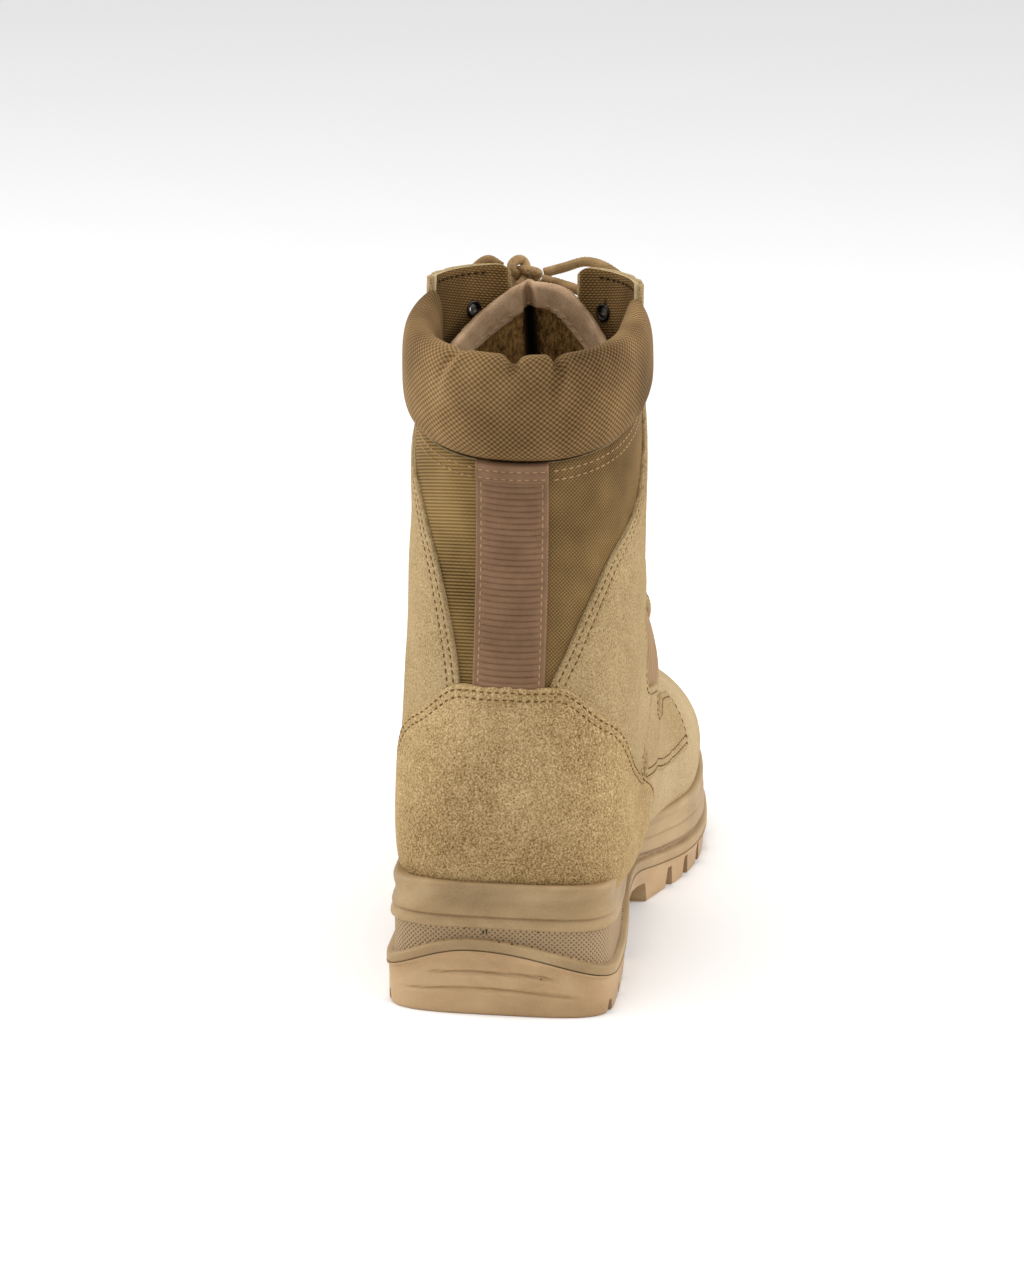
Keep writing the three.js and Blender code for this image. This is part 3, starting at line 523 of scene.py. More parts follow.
LOOKS = {
    "counter": suede("suede_counter", srgb(96, 70, 36), srgb(167, 139, 94), srgb(210, 184, 138), 1.3),
    "suede": suede("suede", srgb(116, 93, 57), srgb(164, 139, 99), srgb(186, 164, 125), 0.9),
    # The vamp's suede is a lighter copy of the suede: painted light, where the front of the boot is lit more.
    "vamp": suede("suede_vamp_painted_light", srgb(136, 113, 78), srgb(174, 151, 113), srgb(192, 171, 136), 0.7),
    "edge": plain_cloth("leather_edge", srgb(157, 136, 98), srgb(198, 180, 142), 0.8),
    "nylon": woven("nylon", srgb(59, 40, 17), srgb(119, 93, 56), srgb(166, 138, 92), 0.68, 0.15),
    "ribbed": woven("ribbed_nylon", srgb(60, 42, 15), srgb(118, 93, 54), srgb(156, 129, 81), 1.2, 0.9),
    "collar": woven("collar_nylon", srgb(56, 38, 17), srgb(112, 86, 53), srgb(164, 134, 92), 0.95),
    "facing": woven(
        "facing_lining", srgb(44, 28, 10), srgb(104, 77, 42), srgb(152, 122, 76), 0.95, rows=0.45, depth=0.35
    ),
    "window": woven("window_nylon", srgb(104, 80, 52), srgb(158, 128, 94), srgb(184, 154, 116), 0.9),
    "ribbon": plain_cloth("webbing", srgb(118, 90, 66), srgb(136, 105, 80), 0.7, 0.08),
    "lining": brushed("lining", srgb(56, 38, 16), srgb(116, 86, 46), srgb(158, 122, 72)),
    "binding": plain_cloth("binding", srgb(150, 120, 92), srgb(196, 164, 130), 0.62),
    "midsole": rubber("midsole", srgb(137, 112, 76), srgb(159, 132, 94), srgb(176, 150, 111)),
    # The textured band's colours are darker than the midsole's: painted shade for the recess.
    "recess": knurled("midsole_recess_painted_shade", srgb(112, 90, 62), srgb(172, 146, 112)),
    "outsole": rubber("outsole", srgb(160, 129, 92), srgb(176, 144, 105), srgb(187, 157, 118)),
    "lace": plain_cloth("lace", srgb(116, 89, 54), srgb(168, 138, 98), 0.75, 0.12),
    "tan_thread": plain_cloth("tan_thread", srgb(78, 54, 27), srgb(116, 86, 48), 0.8),
    "pale_thread": plain_cloth("pale_thread", srgb(149, 119, 85), srgb(185, 152, 114), 0.8),
    "dark_thread": plain_cloth("dark_thread", srgb(38, 26, 12), srgb(70, 50, 28), 0.8),
    "bronze": metal("antique_bronze", srgb(30, 26, 22), srgb(72, 64, 54)),
}


# ------------------------------------------------------------------ thread
STITCH_RADIUS = 0.32
STITCH_RINGS = 5
STITCH_SIDES = 6
NEAR_CAP = np.array([(0, 5, 4, 3), (0, 3, 2, 1)])  # the quads that close a stitch's first ring
FAR_CAP = np.array([(0, 1, 2, 3), (0, 3, 4, 5)])


def stitches(name, rows, look, pitch=2.7, share=0.74, radius=STITCH_RADIUS):
    """One joined mesh of thread. Each row is (points, normals), along a seam. share is how much of
    the pitch a stitch fills."""
    points, faces = [], []
    ring = np.linspace(0, 2 * np.pi, STITCH_SIDES, endpoint=False)
    along_it = np.linspace(-1, 1, STITCH_RINGS)
    swell = np.sqrt(np.maximum(1 - np.abs(along_it) ** 3, 0.02))
    far_end = (STITCH_RINGS - 1) * STITCH_SIDES
    one = np.concatenate([ring_faces(STITCH_RINGS, STITCH_SIDES), NEAR_CAP, FAR_CAP + far_end])
    for line, normals in rows:
        spots = resample(line, pitch)
        ups = on_line(normals, np.linspace(0, 1, len(normals)), np.linspace(0, 1, len(spots)))
        for a, b, up in zip(spots[:-1], spots[1:], ups[:-1]):
            run = (b - a) * share / 2
            up = unit(up)
            side = unit(np.cross(up, run))
            centres = (a + b) / 2 + np.outer(along_it, run) + np.outer(0.5 * (swell - 1), up) * radius
            loop = np.outer(np.cos(ring), side) + np.outer(np.sin(ring), up)
            faces.append(one + len(points) * STITCH_RINGS * STITCH_SIDES)
            points.append(centres[:, None, :] + loop[None, :, :] * (radius * swell)[:, None, None])
    return make_mesh(name, np.concatenate(points).reshape(-1, 3), np.concatenate(faces), [look])


# ------------------------------------------------------------------ the upper's surface
# Soft troughs and ridges that every layer shares: section, turn, their spreads and depth.
CREASES = [
    (11.6, 0.20, 0.25, 0.05, -0.9),  # over the ankle's bend, lateral then medial
    (12.3, 0.21, 0.30, 0.05, 0.6),
    (11.5, 0.80, 0.25, 0.05, -0.9),
    (12.2, 0.79, 0.30, 0.05, 0.6),
    (4.0, 0.06, 0.22, 0.09, -0.8),  # across the vamp, where the toes bend
    (4.0, 0.94, 0.22, 0.09, -0.8),
    (3.3, 0.02, 0.25, 0.10, -0.6),
    (3.3, 0.98, 0.25, 0.10, -0.6),
    (14.6, 0.30, 0.60, 0.05, -0.7),  # slack in the shaft
    (14.4, 0.70, 0.60, 0.05, -0.6),
]


def softness(u, turn):
    """How far worn creases and slack lift or sink the surface."""
    turn = np.mod(turn, 1.0)
    total = 0.22 * np.sin(2.1 * u + 9 * np.pi * turn) * np.sin(6 * np.pi * turn + 1)
    for at_u, at_turn, wide_u, wide_turn, depth in CREASES:
        total = total + depth * bell(u, at_u, wide_u) * bell(turn, at_turn, wide_turn)
    return total


def cloth_point(u, turn, lift):
    return lifted(u, turn, lift + softness(u, turn))


EDGE_ROLL = 1.3  # how far in from its edge a panel rounds over
PANEL_FOOT = NYLON_LIFT - 0.3
SEAM_DEPTH = 0.4
SEAM_SPREAD = 0.6
THREADS = {"tan_thread": [], "pale_thread": [], "dark_thread": []}


def panel(name, spot, rows, columns, lift, look, free, seams):
    """A panel on the last. spot(s, t) gives u and turn for s and t from 0 to 1. free names its
    visible edges among s0, s1, t0 and t1, which round over. seams are (edge, distances in)."""
    u, turn = spot(*panel_grid(rows, columns, 0.03, 0.05))
    ground = cloth_point(u, turn, np.zeros_like(u))
    borders = {"s0": ground[0], "s1": ground[-1], "t0": ground[:, 0], "t1": ground[:, -1]}
    away = edge_distance(ground, np.concatenate([refine(borders[key]) for key in free]))
    outer_lift = PANEL_FOOT + (lift - PANEL_FOOT) * rolled(away, EDGE_ROLL)
    gaps = {}
    for key, distances in seams:
        gaps[key] = edge_distance(ground, refine(borders[key]))
        for distance in distances:
            outer_lift = outer_lift - SEAM_DEPTH * bell(gaps[key], distance, SEAM_SPREAD)
    outer = cloth_point(u, turn, outer_lift)
    inner = cloth_point(u, turn, np.full_like(u, PANEL_FOOT - 0.2))
    made = face_out(slab(name, outer, inner, [look], weave=cloth_places(outer)))
    for key, distances in seams:
        for distance in distances:
            row = seam_line(outer, gaps[key], key, distance, last_normal(u, turn))
            if row is not None:
                THREADS["tan_thread"].append(row)
    return made


def refine(line, most=1.0, shortest=3.0):
    """A polyline with points at most that far apart. A shorter one stays as it is."""
    return resample(line, most) if lengths_along(line)[-1] > shortest else line


def seam_line(outer, gap, key, distance, normals):
    """The line on a panel's face at that distance from one of its edges."""
    turned = (lambda a: a) if key[0] == "t" else (lambda a: np.swapaxes(a, 0, 1))
    faces, gaps, ups = turned(outer), turned(gap), turned(normals)
    if key[1] == "1":
        faces, gaps, ups = faces[:, ::-1], gaps[:, ::-1], ups[:, ::-1]
    line, up = [], []
    for points, gap_row, up_row in zip(faces, gaps, ups):
        past = np.nonzero(gap_row >= distance)[0]
        if len(past) == 0 or past[0] == 0:
            continue
        k = past[0]
        share = (distance - gap_row[k - 1]) / max(gap_row[k] - gap_row[k - 1], 1e-6)
        line.append(mix(points[k - 1], points[k], share))
        up.append(up_row[k])
    if len(line) < 4:
        return None
    return np.array(line), np.array(up)


def signed_turn(side, away):
    """A turn that far round from the ridge, on the lateral side for 1 and the medial for -1."""
    return np.mod(side * away, 1.0)


QUARTER_START = 4.22  # u at the quarters' front ends
# The window's rear edge: u, and how far round from the ridge.
WINDOW_EDGE = [(QUARTER_START, 0.146), (4.9, 0.158), (5.5, 0.185), (6.5, 0.222), (7.4, 0.245), (8.0, 0.2506)]
WINDOW_EDGE += [(9.2, 0.248), (9.76, 0.2431), (10.1, 0.232), (10.35, 0.215), (10.8, 0.193), (11.6, 0.168)]
WINDOW_EDGE += [(12.3, 0.15), (13.0, 0.14), (18.4, 0.13)]
# The quarter's foot, over the vamp: u and height.
FOOT_HEIGHTS = [(QUARTER_START, 47.5), (5.03, 47), (5.77, 49), (6.8, 56), (7.9, 62.5), (8.9, 67), (9.5, 69.5)]


def away_at_height(u, height):
    """How far round from the ridge section u comes down to that height."""
    away = np.linspace(0.15, 0.36, 800)
    heights = last_point(u, away)[..., 2]
    return float(np.interp(height, heights[::-1], away[::-1]))


# The quarters' rear edges: u, and how far round from the ridge. They run along the foot, on under
# the counter, and up the shaft to the pad.
QUARTER_FOOT = [(u, away_at_height(u, along(FOOT_HEIGHTS, u))) for u in np.linspace(QUARTER_START, 9.5, 27)]
QUARTER_FOOT += [(9.6, 0.36), (9.8, 0.42), (10.3, 0.455)]
LATERAL_REAR = [(12.6, 0.45), (13.35, 0.4388), (13.72, 0.4319), (14.15, 0.4188), (14.57, 0.4019)]
LATERAL_REAR += [(14.91, 0.3838), (15.16, 0.3644), (15.46, 0.3406), (15.7, 0.30), (15.95, 0.25)]
LATERAL_REAR += [(16.2, 0.205)]
MEDIAL_REAR = [(12.6, 0.462), (13.4, 0.4525), (13.8, 0.4313), (14.19, 0.4087), (14.57, 0.3812)]
MEDIAL_REAR += [(14.84, 0.3531), (14.98, 0.3175), (15.1, 0.285), (15.3, 0.26), (15.7, 0.225), (16.1, 0.203)]
PAD_END_ROWS = [(16.4, PAD["end"] - 0.001), (18.5, PAD["end"] - 0.002)]
QUARTER_REAR = {
    1: QUARTER_FOOT + LATERAL_REAR + PAD_END_ROWS,
    -1: QUARTER_FOOT + MEDIAL_REAR + PAD_END_ROWS,
}
# The vamp's top edge: how far round from the ridge, and u there.
VAMP_TOP = [(0.0, 4.42), (0.06, 4.5), (0.1, 4.75), (0.16, 4.86), (0.2, 5.03), (0.225, 5.77), (0.24, 6.5)]
VAMP_TOP += [(0.254, 7.4), (0.261, 8.4), (0.27, 9.2), (0.4, 9.5)]
EYESTAY_START = 4.15
EYESTAY_WIDTH = 24.0
FACING_CORNER = 7.0  # radius of the facings' top corners at the throat


def facing_top(away):
    """u where the facings are cut level, at a turn from the ridge."""
    low, high = last_point(COLLAR_ROW, away)[..., 2], last_point(COLLAR_ROW + 1, away)[..., 2]
    past = np.abs(last_point(COLLAR_ROW, away)[..., 1]) - throat_half(COLLAR_ROW)
    short = np.clip(FACING_CORNER - past, 0, FACING_CORNER)
    drop = FACING_CORNER - np.sqrt(FACING_CORNER**2 - short**2)
    return COLLAR_ROW + (SHAFT_HEIGHT - drop - low) / (high - low)


def upper_top(turn):
    """u where the upper ends: under the pad, or at the top of the facings in front of it."""
    away = np.minimum(np.mod(turn, 1), 1 - np.mod(turn, 1))
    blend = smooth(PAD["end"] - 0.004, PAD["end"], away)
    return mix(facing_top(away), pad_seam(turn), blend)


def throat_edge(u):
    opened = np.sqrt(np.clip((u - THROAT["foot"]) / 0.5, 0, 1))
    return turn_at(u, throat_half(u) * opened)


def eyelet_spots():
    spots = []
    for i, u in enumerate(np.linspace(EYELET_ROWS["low"], EYELET_ROWS["high"], EYELET_PAIRS)):
        for side, word in ((1, "lateral"), (-1, "medial")):
            y = side * (throat_half(u) + EYELET_ROWS[word])
            spots.append((f"eyelet_{word}_{i + 1}", float(u), float(turn_at(u, y)), side))
    return spots


def spokes_at(u, turn, sides):
    """The direction out of the last there, and that many level with it, all the way round."""
    up = last_normal(u, turn)
    across = unit(np.cross(up, [0, 0, 1.0]))
    angle = np.linspace(0, 2 * np.pi, sides, endpoint=False)
    return up, np.outer(np.cos(angle), across) + np.outer(np.sin(angle), np.cross(up, across))


def cut_eyelet_holes(made, radius=2.6, sides=20, reach=6.0):
    """Cuts a round hole through the wall at each eyelet."""
    points, faces = [], []
    for _, u, turn, _ in eyelet_spots():
        loop = radius * spokes_at(u, turn, sides)[1]
        start = len(points) * 2 * sides
        ends = [cloth_point(u, turn, np.array(lift)) + loop for lift in (-reach, reach)]
        points.append(np.concatenate(ends))
        faces += ring_faces(2, sides, start).tolist()
        faces += [tuple(range(start, start + sides)), tuple(range(start + sides, start + 2 * sides))]
    cutter = face_out(make_mesh("eyelet_cutter", np.concatenate(points), faces, [LOOKS["edge"]]))
    subtract(made, cutter)


def subtract(made, cutter):
    modifier = made.modifiers.new("cut", "BOOLEAN")
    modifier.operation = "DIFFERENCE"
    modifier.solver = "EXACT"
    modifier.object = cutter
    graph = bpy.context.evaluated_depsgraph_get()
    mesh = bpy.data.meshes.new_from_object(made.evaluated_get(graph))
    made.modifiers.clear()
    made.data = mesh
    bpy.data.objects.remove(cutter)


RIB_LEAN = 0.25  # how far the nylon's ribs drop for each millimetre forwards
TOE_U, VAMP_U, SHAFT_U = 1.5, 4.4, 5.1  # where the shell's rows change their spacing
SHELL_ROWS = {"toe": 16, "vamp": 22, "instep": 14, "shaft": 92}
SHELL_ACROSS = 171
PAD_SHARE = slice(40, -40)  # the shell's columns that end under the pad
PAD_SEAMS = (3.0, 6.2)  # how far the two rows of stitches are below the pad
PAD_SEAM_TURNS = ((0.235, 0.452), (0.548, 0.765))
WINDOW_REACH = {"away": 0.27, "u": 11.5}  # window cloth lies nearer the ridge and lower than this
NYLON, FACING, EDGE, RIBBED, WINDOW = range(5)  # the shell's material numbers


def shell_rows():
    """u and turn over the shell: level rows to the instep, then rows that even out to its top."""
    toe = TOE_U * np.linspace(0.03, 1, SHELL_ROWS["toe"]) ** 2
    forefoot = np.linspace(TOE_U, VAMP_U, SHELL_ROWS["vamp"])[1:]
    level = np.concatenate([toe, forefoot, np.linspace(VAMP_U, SHAFT_U, SHELL_ROWS["instep"])[1:]])
    across = np.linspace(0, 1, SHELL_ACROSS)
    rows = []
    for u in level:
        edge = throat_edge(u)
        rows.append((np.full_like(across, u), edge + (1 - 2 * edge) * across))
    for s in np.linspace(0, 1, SHELL_ROWS["shaft"])[1:]:
        edge = throat_edge(mix(SHAFT_U, 17.0, s))
        turn = edge + (1 - 2 * edge) * across
        rows.append((SHAFT_U + (upper_top(turn) - SHAFT_U) * s, turn))
    return (np.stack([row[k] for row in rows]) for k in (0, 1))


def upper_shell():
    """The nylon, its lining and the wall between: open at the collar, throat and underside."""
    u, turn = shell_rows()
    ground = cloth_point(u, turn, np.zeros_like(u))
    gap = edge_distance(ground, refine(ground[-1, PAD_SHARE]))
    outer = cloth_point(u, turn, NYLON_LIFT - 0.3 * sum(bell(gap, at, SEAM_SPREAD) for at in PAD_SEAMS))
    inner = cloth_point(u, turn, np.full_like(u, -WALL))
    middles = face_means(turn)
    front = np.minimum(middles, 1 - middles) < WINDOW_REACH["away"]
    front = front & (face_means(u) < WINDOW_REACH["u"])
    outside = np.where(front, WINDOW, np.where(middles < 0.5, RIBBED, NYLON))
    borders = len(slab_faces(*u.shape)[2])
    kinds = [*outside.tolist(), *[FACING] * len(outside), *[EDGE] * borders]
    places = cloth_places(outer)
    places[..., 1] = outer[..., 2] + RIB_LEAN * outer[..., 0]
    looks = [LOOKS[key] for key in ("nylon", "facing", "edge", "ribbed", "window")]
    made = face_out(weld(slab("upper_shell", outer, inner, looks, kinds, places)))
    cut_eyelet_holes(made)
    for ends in PAD_SEAM_TURNS:
        turn = np.linspace(*ends, 80)
        for distance in PAD_SEAMS:
            THREADS["pale_thread"].append(row_below(pad_seam(turn), turn, distance, NYLON_LIFT - 0.1))
    for side in (1, -1):
        away = np.linspace(0.075, PAD["end"] - 0.012, 50)
        line, up = row_below(facing_top(away), signed_turn(side, away), 2.6, -WALL - 0.15)
        THREADS["dark_thread"].append((line, -up))
    return made


def row_below(u, turn, distance, lift):
    """A seam that far below a line on the last, and the directions out of the last along it."""
    step = 0.05
    rise = np.linalg.norm(last_point(u, turn) - last_point(u - step, turn), axis=-1) / step
    u = u - distance / rise
    return cloth_point(u, turn, np.full_like(u, lift)), last_normal(u, turn)


def quarter(side):
    """Suede from the eyestay round to the nylon back, with the window's edge cut into it."""

    def spot(s, t):
        guess = mix(QUARTER_START, 17.9, s)
        away = mix(along(WINDOW_EDGE, guess), along(QUARTER_REAR[side], guess), t)
        u = mix(QUARTER_START, facing_top(away) - 0.02, s)
        return np.where(away > PAD["end"] - 0.001, guess, u), signed_turn(side, away)

    name = "quarter_" + ("lateral" if side > 0 else "medial")
    seams = [("t0", (2.6,)), ("t1", (1.9, 4.5)), ("s0", (2.6,))]
    return panel(name, spot, 190, 70, QUARTER_LIFT, LOOKS["suede"], ("s0", "t0", "t1"), seams)


def eyestay(side):
    """The suede strip that carries the eyelets, up to the top of the facings."""

    def spot(s, t):
        guess = mix(EYESTAY_START, 18.0, s)
        inner = turn_at(guess, throat_half(guess) - 0.2)
        outer = turn_at(guess, throat_half(guess) + EYESTAY_WIDTH)
        away = mix(inner, outer, t)
        return mix(EYESTAY_START, facing_top(away) + 0.01, s), signed_turn(side, away)

    name = "eyestay_" + ("lateral" if side > 0 else "medial")
    seams = [("t0", (2.6,)), ("t1", (2.4, 4.9)), ("s1", (3.0,))]
    made = panel(name, spot, 210, 34, EYESTAY_LIFT, LOOKS["suede"], ("s0", "s1", "t0", "t1"), seams)
    cut_eyelet_holes(made)
    return made


def vamp():
    """Suede over the toe and low along both sides, under the quarters' front edges."""

    def spot(s, t):
        away = VAMP_TOP[-1][0] * (2 * t - 1)
        top = along(VAMP_TOP, np.abs(away))
        return 0.03 + (top - 0.03) * s**1.4, np.mod(away, 1)

    # Its look is the lighter copy of the suede: painted light.
    return panel("vamp", spot, 92, 124, VAMP_LIFT, LOOKS["vamp"], ("s1",), [("s1", (2.4,))])


def heel_counter():
    """Suede round the heel, from the sole up to its own curved top edge."""

    def spot(s, t):
        away = COUNTER_HALF_TURN * np.sin(np.pi * (t - 0.5))
        top = along(COUNTER_EDGE, np.abs(away))
        front = along(COUNTER_FRONT, np.abs(away))
        return front + (top - front) * s, 0.5 + away

    seams = [("s1", (2.0, 4.5)), ("s0", (2.2,))]
    return panel("heel_counter_suede", spot, 106, 170, COUNTER_LIFT, LOOKS["counter"], ("s0", "s1"), seams)


# ------------------------------------------------------------------ collar pad
# Where the pad's top is pinched: turn, spread, depth and the lean of its fold down the outside.
PINCHES = [(0.502, 0.007, 4.0, 0.05), (0.556, 0.0065, 3.3, -0.03), (0.425, 0.010, 1.6, -0.04)]
FOLD = [(0.012, 0.007, 1.1), (0.0, 0.006, -1.4)]  # a fold's ridge and trough: shift in turn, spread, rise
PAD_ROWS, PAD_SIDES = 330, 72
PAD_THIN = 0.42  # its depth at the front ends, as a share of its depth behind
PAD_INSET = 2.2  # how far its middle lies inside the last


def squared(value, power):
    """A sine or cosine whose circle is made squarer by a power under 1."""
    return np.sign(value) * np.abs(value) ** power


def collar_pad():
    """A padded roll round the back and sides of the top edge, pinched in places."""
    turn = np.linspace(PAD["end"] + 0.001, 1 - PAD["end"] - 0.001, PAD_ROWS)[:, None]
    angle = np.linspace(-np.pi / 2, 1.5 * np.pi, PAD_SIDES, endpoint=False)[None, :]
    low = pad_seam(turn) + 0.02
    top = COLLAR_ROW - 0.03
    mid = (low + top) / 2
    low_point, top_point = last_point(low, turn), last_point(top, turn)
    up = top_point - low_point
    half = np.linalg.norm(up, axis=-1, keepdims=True) / 2
    up = up / (2 * half)
    out = last_normal(mid, turn)
    near_end = np.clip(np.minimum(turn - PAD["end"], 1 - PAD["end"] - turn) / 0.05, 0, 1)
    thick = PAD["depth"] * mix(PAD_THIN, 1, np.sqrt(near_end))
    across, upward = squared(np.cos(angle), 0.78), squared(np.sin(angle), 0.66)
    pinch = np.zeros(np.broadcast(turn, angle).shape)
    fold = np.zeros_like(pinch)
    height = np.sin(angle)
    for at, spread, depth, lean in PINCHES:
        line = at + lean * (1 - height) * 0.5
        pinch = pinch + depth * bell(turn, at, spread) * smooth(0.2, 1, height)
        reach = smooth(-0.2, 0.9, height) * smooth(-0.9, -0.2, np.cos(angle))
        fold = fold + reach * sum(rise * bell(turn, line + shift, wide) for shift, wide, rise in FOLD)
    swell = 0.35 * np.sin(19 * turn) * np.cos(2 * angle)
    out_by = (thick * across + fold + swell)[..., None]
    up_by = half * upward[..., None] - pinch[..., None]
    centre = lifted(mid, turn, np.full_like(mid, -PAD_INSET))
    points = centre + out * out_by + up * up_by
    lengths = arc_lengths(points, 1)
    across_places = lengths - lengths[:, :1]
    along_places = arc_lengths(points[:, :1], 0) + np.zeros((PAD_ROWS, PAD_SIDES))
    weave = np.stack([along_places, across_places], -1)
    faces = ring_faces(PAD_ROWS, PAD_SIDES).tolist()
    faces += [tuple(range(PAD_SIDES))[::-1], tuple(range(len(faces), len(faces) + PAD_SIDES))]
    return face_out(make_mesh("collar_padding", points, faces, [LOOKS["collar"]], weave=weave))


# ------------------------------------------------------------------ back strap
STRAP = {"width": 25.4, "rib": 2.15, "hem": 6.4, "height": 0.36, "roll": 0.9, "rows": 520, "columns": 24}
STRAP_SIDE_SEAM = 2.0  # how far in from each side its stitches run
STRAP_HEM_SEAMS = (2.7, 5.4)  # and how far below its top
HEM_ROWS = 42  # the rows at the top that the side seams leave out


def back_strap():
    """Ribbed webbing, folded over and double stitched at the top, stitched down each side."""
    foot, top = along(COUNTER_EDGE, 0.0) - 0.12, PAD["seamBack"] + 0.01
    steps = np.linspace(0, 1, STRAP["rows"]), steps_near_ends(STRAP["columns"], 0.05)
    s, t = np.meshgrid(*steps, indexing="ij")
    u = foot + (top - foot) * s
    y = (0.5 - t) * STRAP["width"]
    turn = turn_at(u, y, on_ridge=False)
    ground = cloth_point(u, turn, np.zeros_like(u))
    length = arc_lengths(ground, 0)
    below_top = length[-1:] - length
    edge = STRAP["width"] / 2 - np.abs(y)
    ribs = STRAP["height"] * (2 * np.abs(np.sin(np.pi * length / STRAP["rib"])) ** 0.6 - 1)
    plain = smooth(2.2, 3.4, edge) * smooth(STRAP["hem"], STRAP["hem"] + 1.5, below_top)
    hem = 0.7 * (1 - smooth(STRAP["hem"] - 0.6, STRAP["hem"] + 0.3, below_top))
    troughs = 0.4 * sum(bell(below_top, at, 0.5) for at in STRAP_HEM_SEAMS)
    troughs = troughs + 0.35 * bell(edge, STRAP_SIDE_SEAM, 0.5)
    rounded = rolled(edge, STRAP["roll"]) * rolled(below_top, STRAP["roll"])
    lift = NYLON_LIFT - 0.2 + (STRAP_LIFT - NYLON_LIFT + 0.2 + hem) * rounded + ribs * plain - troughs
    outer = cloth_point(u, turn, lift)
    inner = cloth_point(u, turn, np.full_like(u, NYLON_LIFT - 0.5))
    made = face_out(slab("strap_webbing", outer, inner, [LOOKS["ribbon"]]))
    normals = last_normal(u, turn)
    below_hem = slice(0, STRAP["rows"] - HEM_ROWS)
    for inset in (STRAP_SIDE_SEAM, STRAP["width"] - STRAP_SIDE_SEAM):
        k = int(np.argmin(np.abs(t[0] - inset / STRAP["width"])))
        THREADS["pale_thread"].append((outer[below_hem, k], normals[below_hem, k]))
    for distance in STRAP_HEM_SEAMS:
        k = int(np.argmin(np.abs(below_top[:, STRAP["columns"] // 2] - distance)))
        THREADS["pale_thread"].append((outer[k, 3:-3], normals[k, 3:-3]))
    return made


# ------------------------------------------------------------------ tongue
TONGUE = {"foot": 4.4, "peak": 17.7, "halfFoot": 16, "lean": 5, "drift": 4.5, "roll": 1.6}
TONGUE_SIDES = {1: (36, 0.8, 1.3), -1: (37.5, 1.0, 2.4)}  # half width, and the fall of the top edge
BINDING_WIDTH = 9.0
BINDING_SEAM = BINDING_WIDTH - 1.8
TONGUE_GAP = 4.8  # from the wall's inner face to the tongue's
TONGUE_THICK = {"thin": 1.9, "padding": 2.9, "quilting": 0.5, "rows": 9}
TONGUE_FOLD = 6.5
RIM_START = 50  # the row of the tongue's grid where its bound edge begins


def tongue():
    """Padded between the facings, thin under them, folded down its middle, with a bound edge."""
    s, t = panel_grid(190, 104, 0.012, 0.03)
    across = 1 - 2 * t
    wide, fall, power = (np.where(across > 0, a, b) for a, b in zip(TONGUE_SIDES[1], TONGUE_SIDES[-1]))
    top = TONGUE["peak"] - fall * np.abs(across) ** power
    u = TONGUE["foot"] + (top - TONGUE["foot"]) * s
    half = mix(TONGUE["halfFoot"], wide, np.minimum(s * 1.8, 1))
    middle = TONGUE["drift"] * s * s
    y = half * across + middle
    turn = turn_at(u, y)
    lean = TONGUE["lean"] * s**3 * (1 - 0.9 * across**2)
    low_lift = -WALL - TONGUE_GAP - lean - 1.2 * np.minimum(s * 2, 1)
    padded = 1 - smooth(throat_half(u) - 1, throat_half(u) + 6, np.abs(y))
    quilted = TONGUE_THICK["quilting"] * bell(np.mod(s * TONGUE_THICK["rows"], 1), 0.5, 0.3)
    thick = TONGUE_THICK["thin"] + (TONGUE_THICK["padding"] + quilted) * padded
    low_lift = low_lift + TONGUE_FOLD * smooth(0.62, 0.95, s) * bell(y, middle + 1.5, 2.2)
    # Painted shade: how far the lining darkens down the fold's valley. It rides in the weave's third part.
    fold_shade = smooth(0.5, 0.8, s) * bell(y, middle + 1.2, 8.0 - 5.5 * s)
    ground = lifted(u, turn, low_lift)
    rim_line = np.concatenate([ground[RIM_START:, 0], ground[-1], ground[RIM_START:, -1][::-1]])
    away = edge_distance(ground, refine(rim_line))
    bound = 1 - smooth(BINDING_WIDTH - 0.35, BINDING_WIDTH + 0.35, away)
    pinched = (1 - rolled(away, TONGUE["roll"])) * thick * 0.5 + 0.3 * bell(away, BINDING_SEAM, 0.5)
    outer = lifted(u, turn, low_lift + thick + 0.5 * bound - pinched)
    inner = lifted(u, turn, low_lift - 0.7 * bound + pinched)
    bands = face_means(bound) > 0.5
    borders = len(slab_faces(*u.shape)[2])
    kinds = np.concatenate([np.where(bands, 1, 0), np.where(bands, 1, 2), np.full(borders, 1)])
    # The weave's third part carries the fold's painted shade.
    weave = np.concatenate([cloth_places(outer), fold_shade[..., None] / MM], -1)
    looks = [LOOKS[key] for key in ("nylon", "binding", "lining")]
    made = face_out(slab("tongue_padding", outer, inner, looks, kinds, weave))
    return made, rim_offset(inner, away, -last_normal(u, turn), BINDING_SEAM)


def face_means(grid):
    """The mean of a grid's values over each of its faces."""
    return ((grid[:-1, :-1] + grid[1:, :-1] + grid[:-1, 1:] + grid[1:, 1:]) / 4).ravel()


def rim_offset(surface, away, normals, distance):
    """The line at a distance inside the tongue's rim, from one side over the top to the other."""
    line, ups = [], []
    for k in range(6, surface.shape[1] - 6):
        inside = np.nonzero(away[:, k] >= distance)[0]
        if len(inside) == 0:
            continue
        row = inside[-1]
        if row < surface.shape[0] // 2:
            continue
        line.append(surface[row, k])
        ups.append(normals[row, k])
    return smoothed(np.array(line)), np.array(ups)


def smoothed(line, times=4):
    for _ in range(times):
        line[1:-1] = (line[:-2] + 2 * line[1:-1] + line[2:]) / 4
    return line


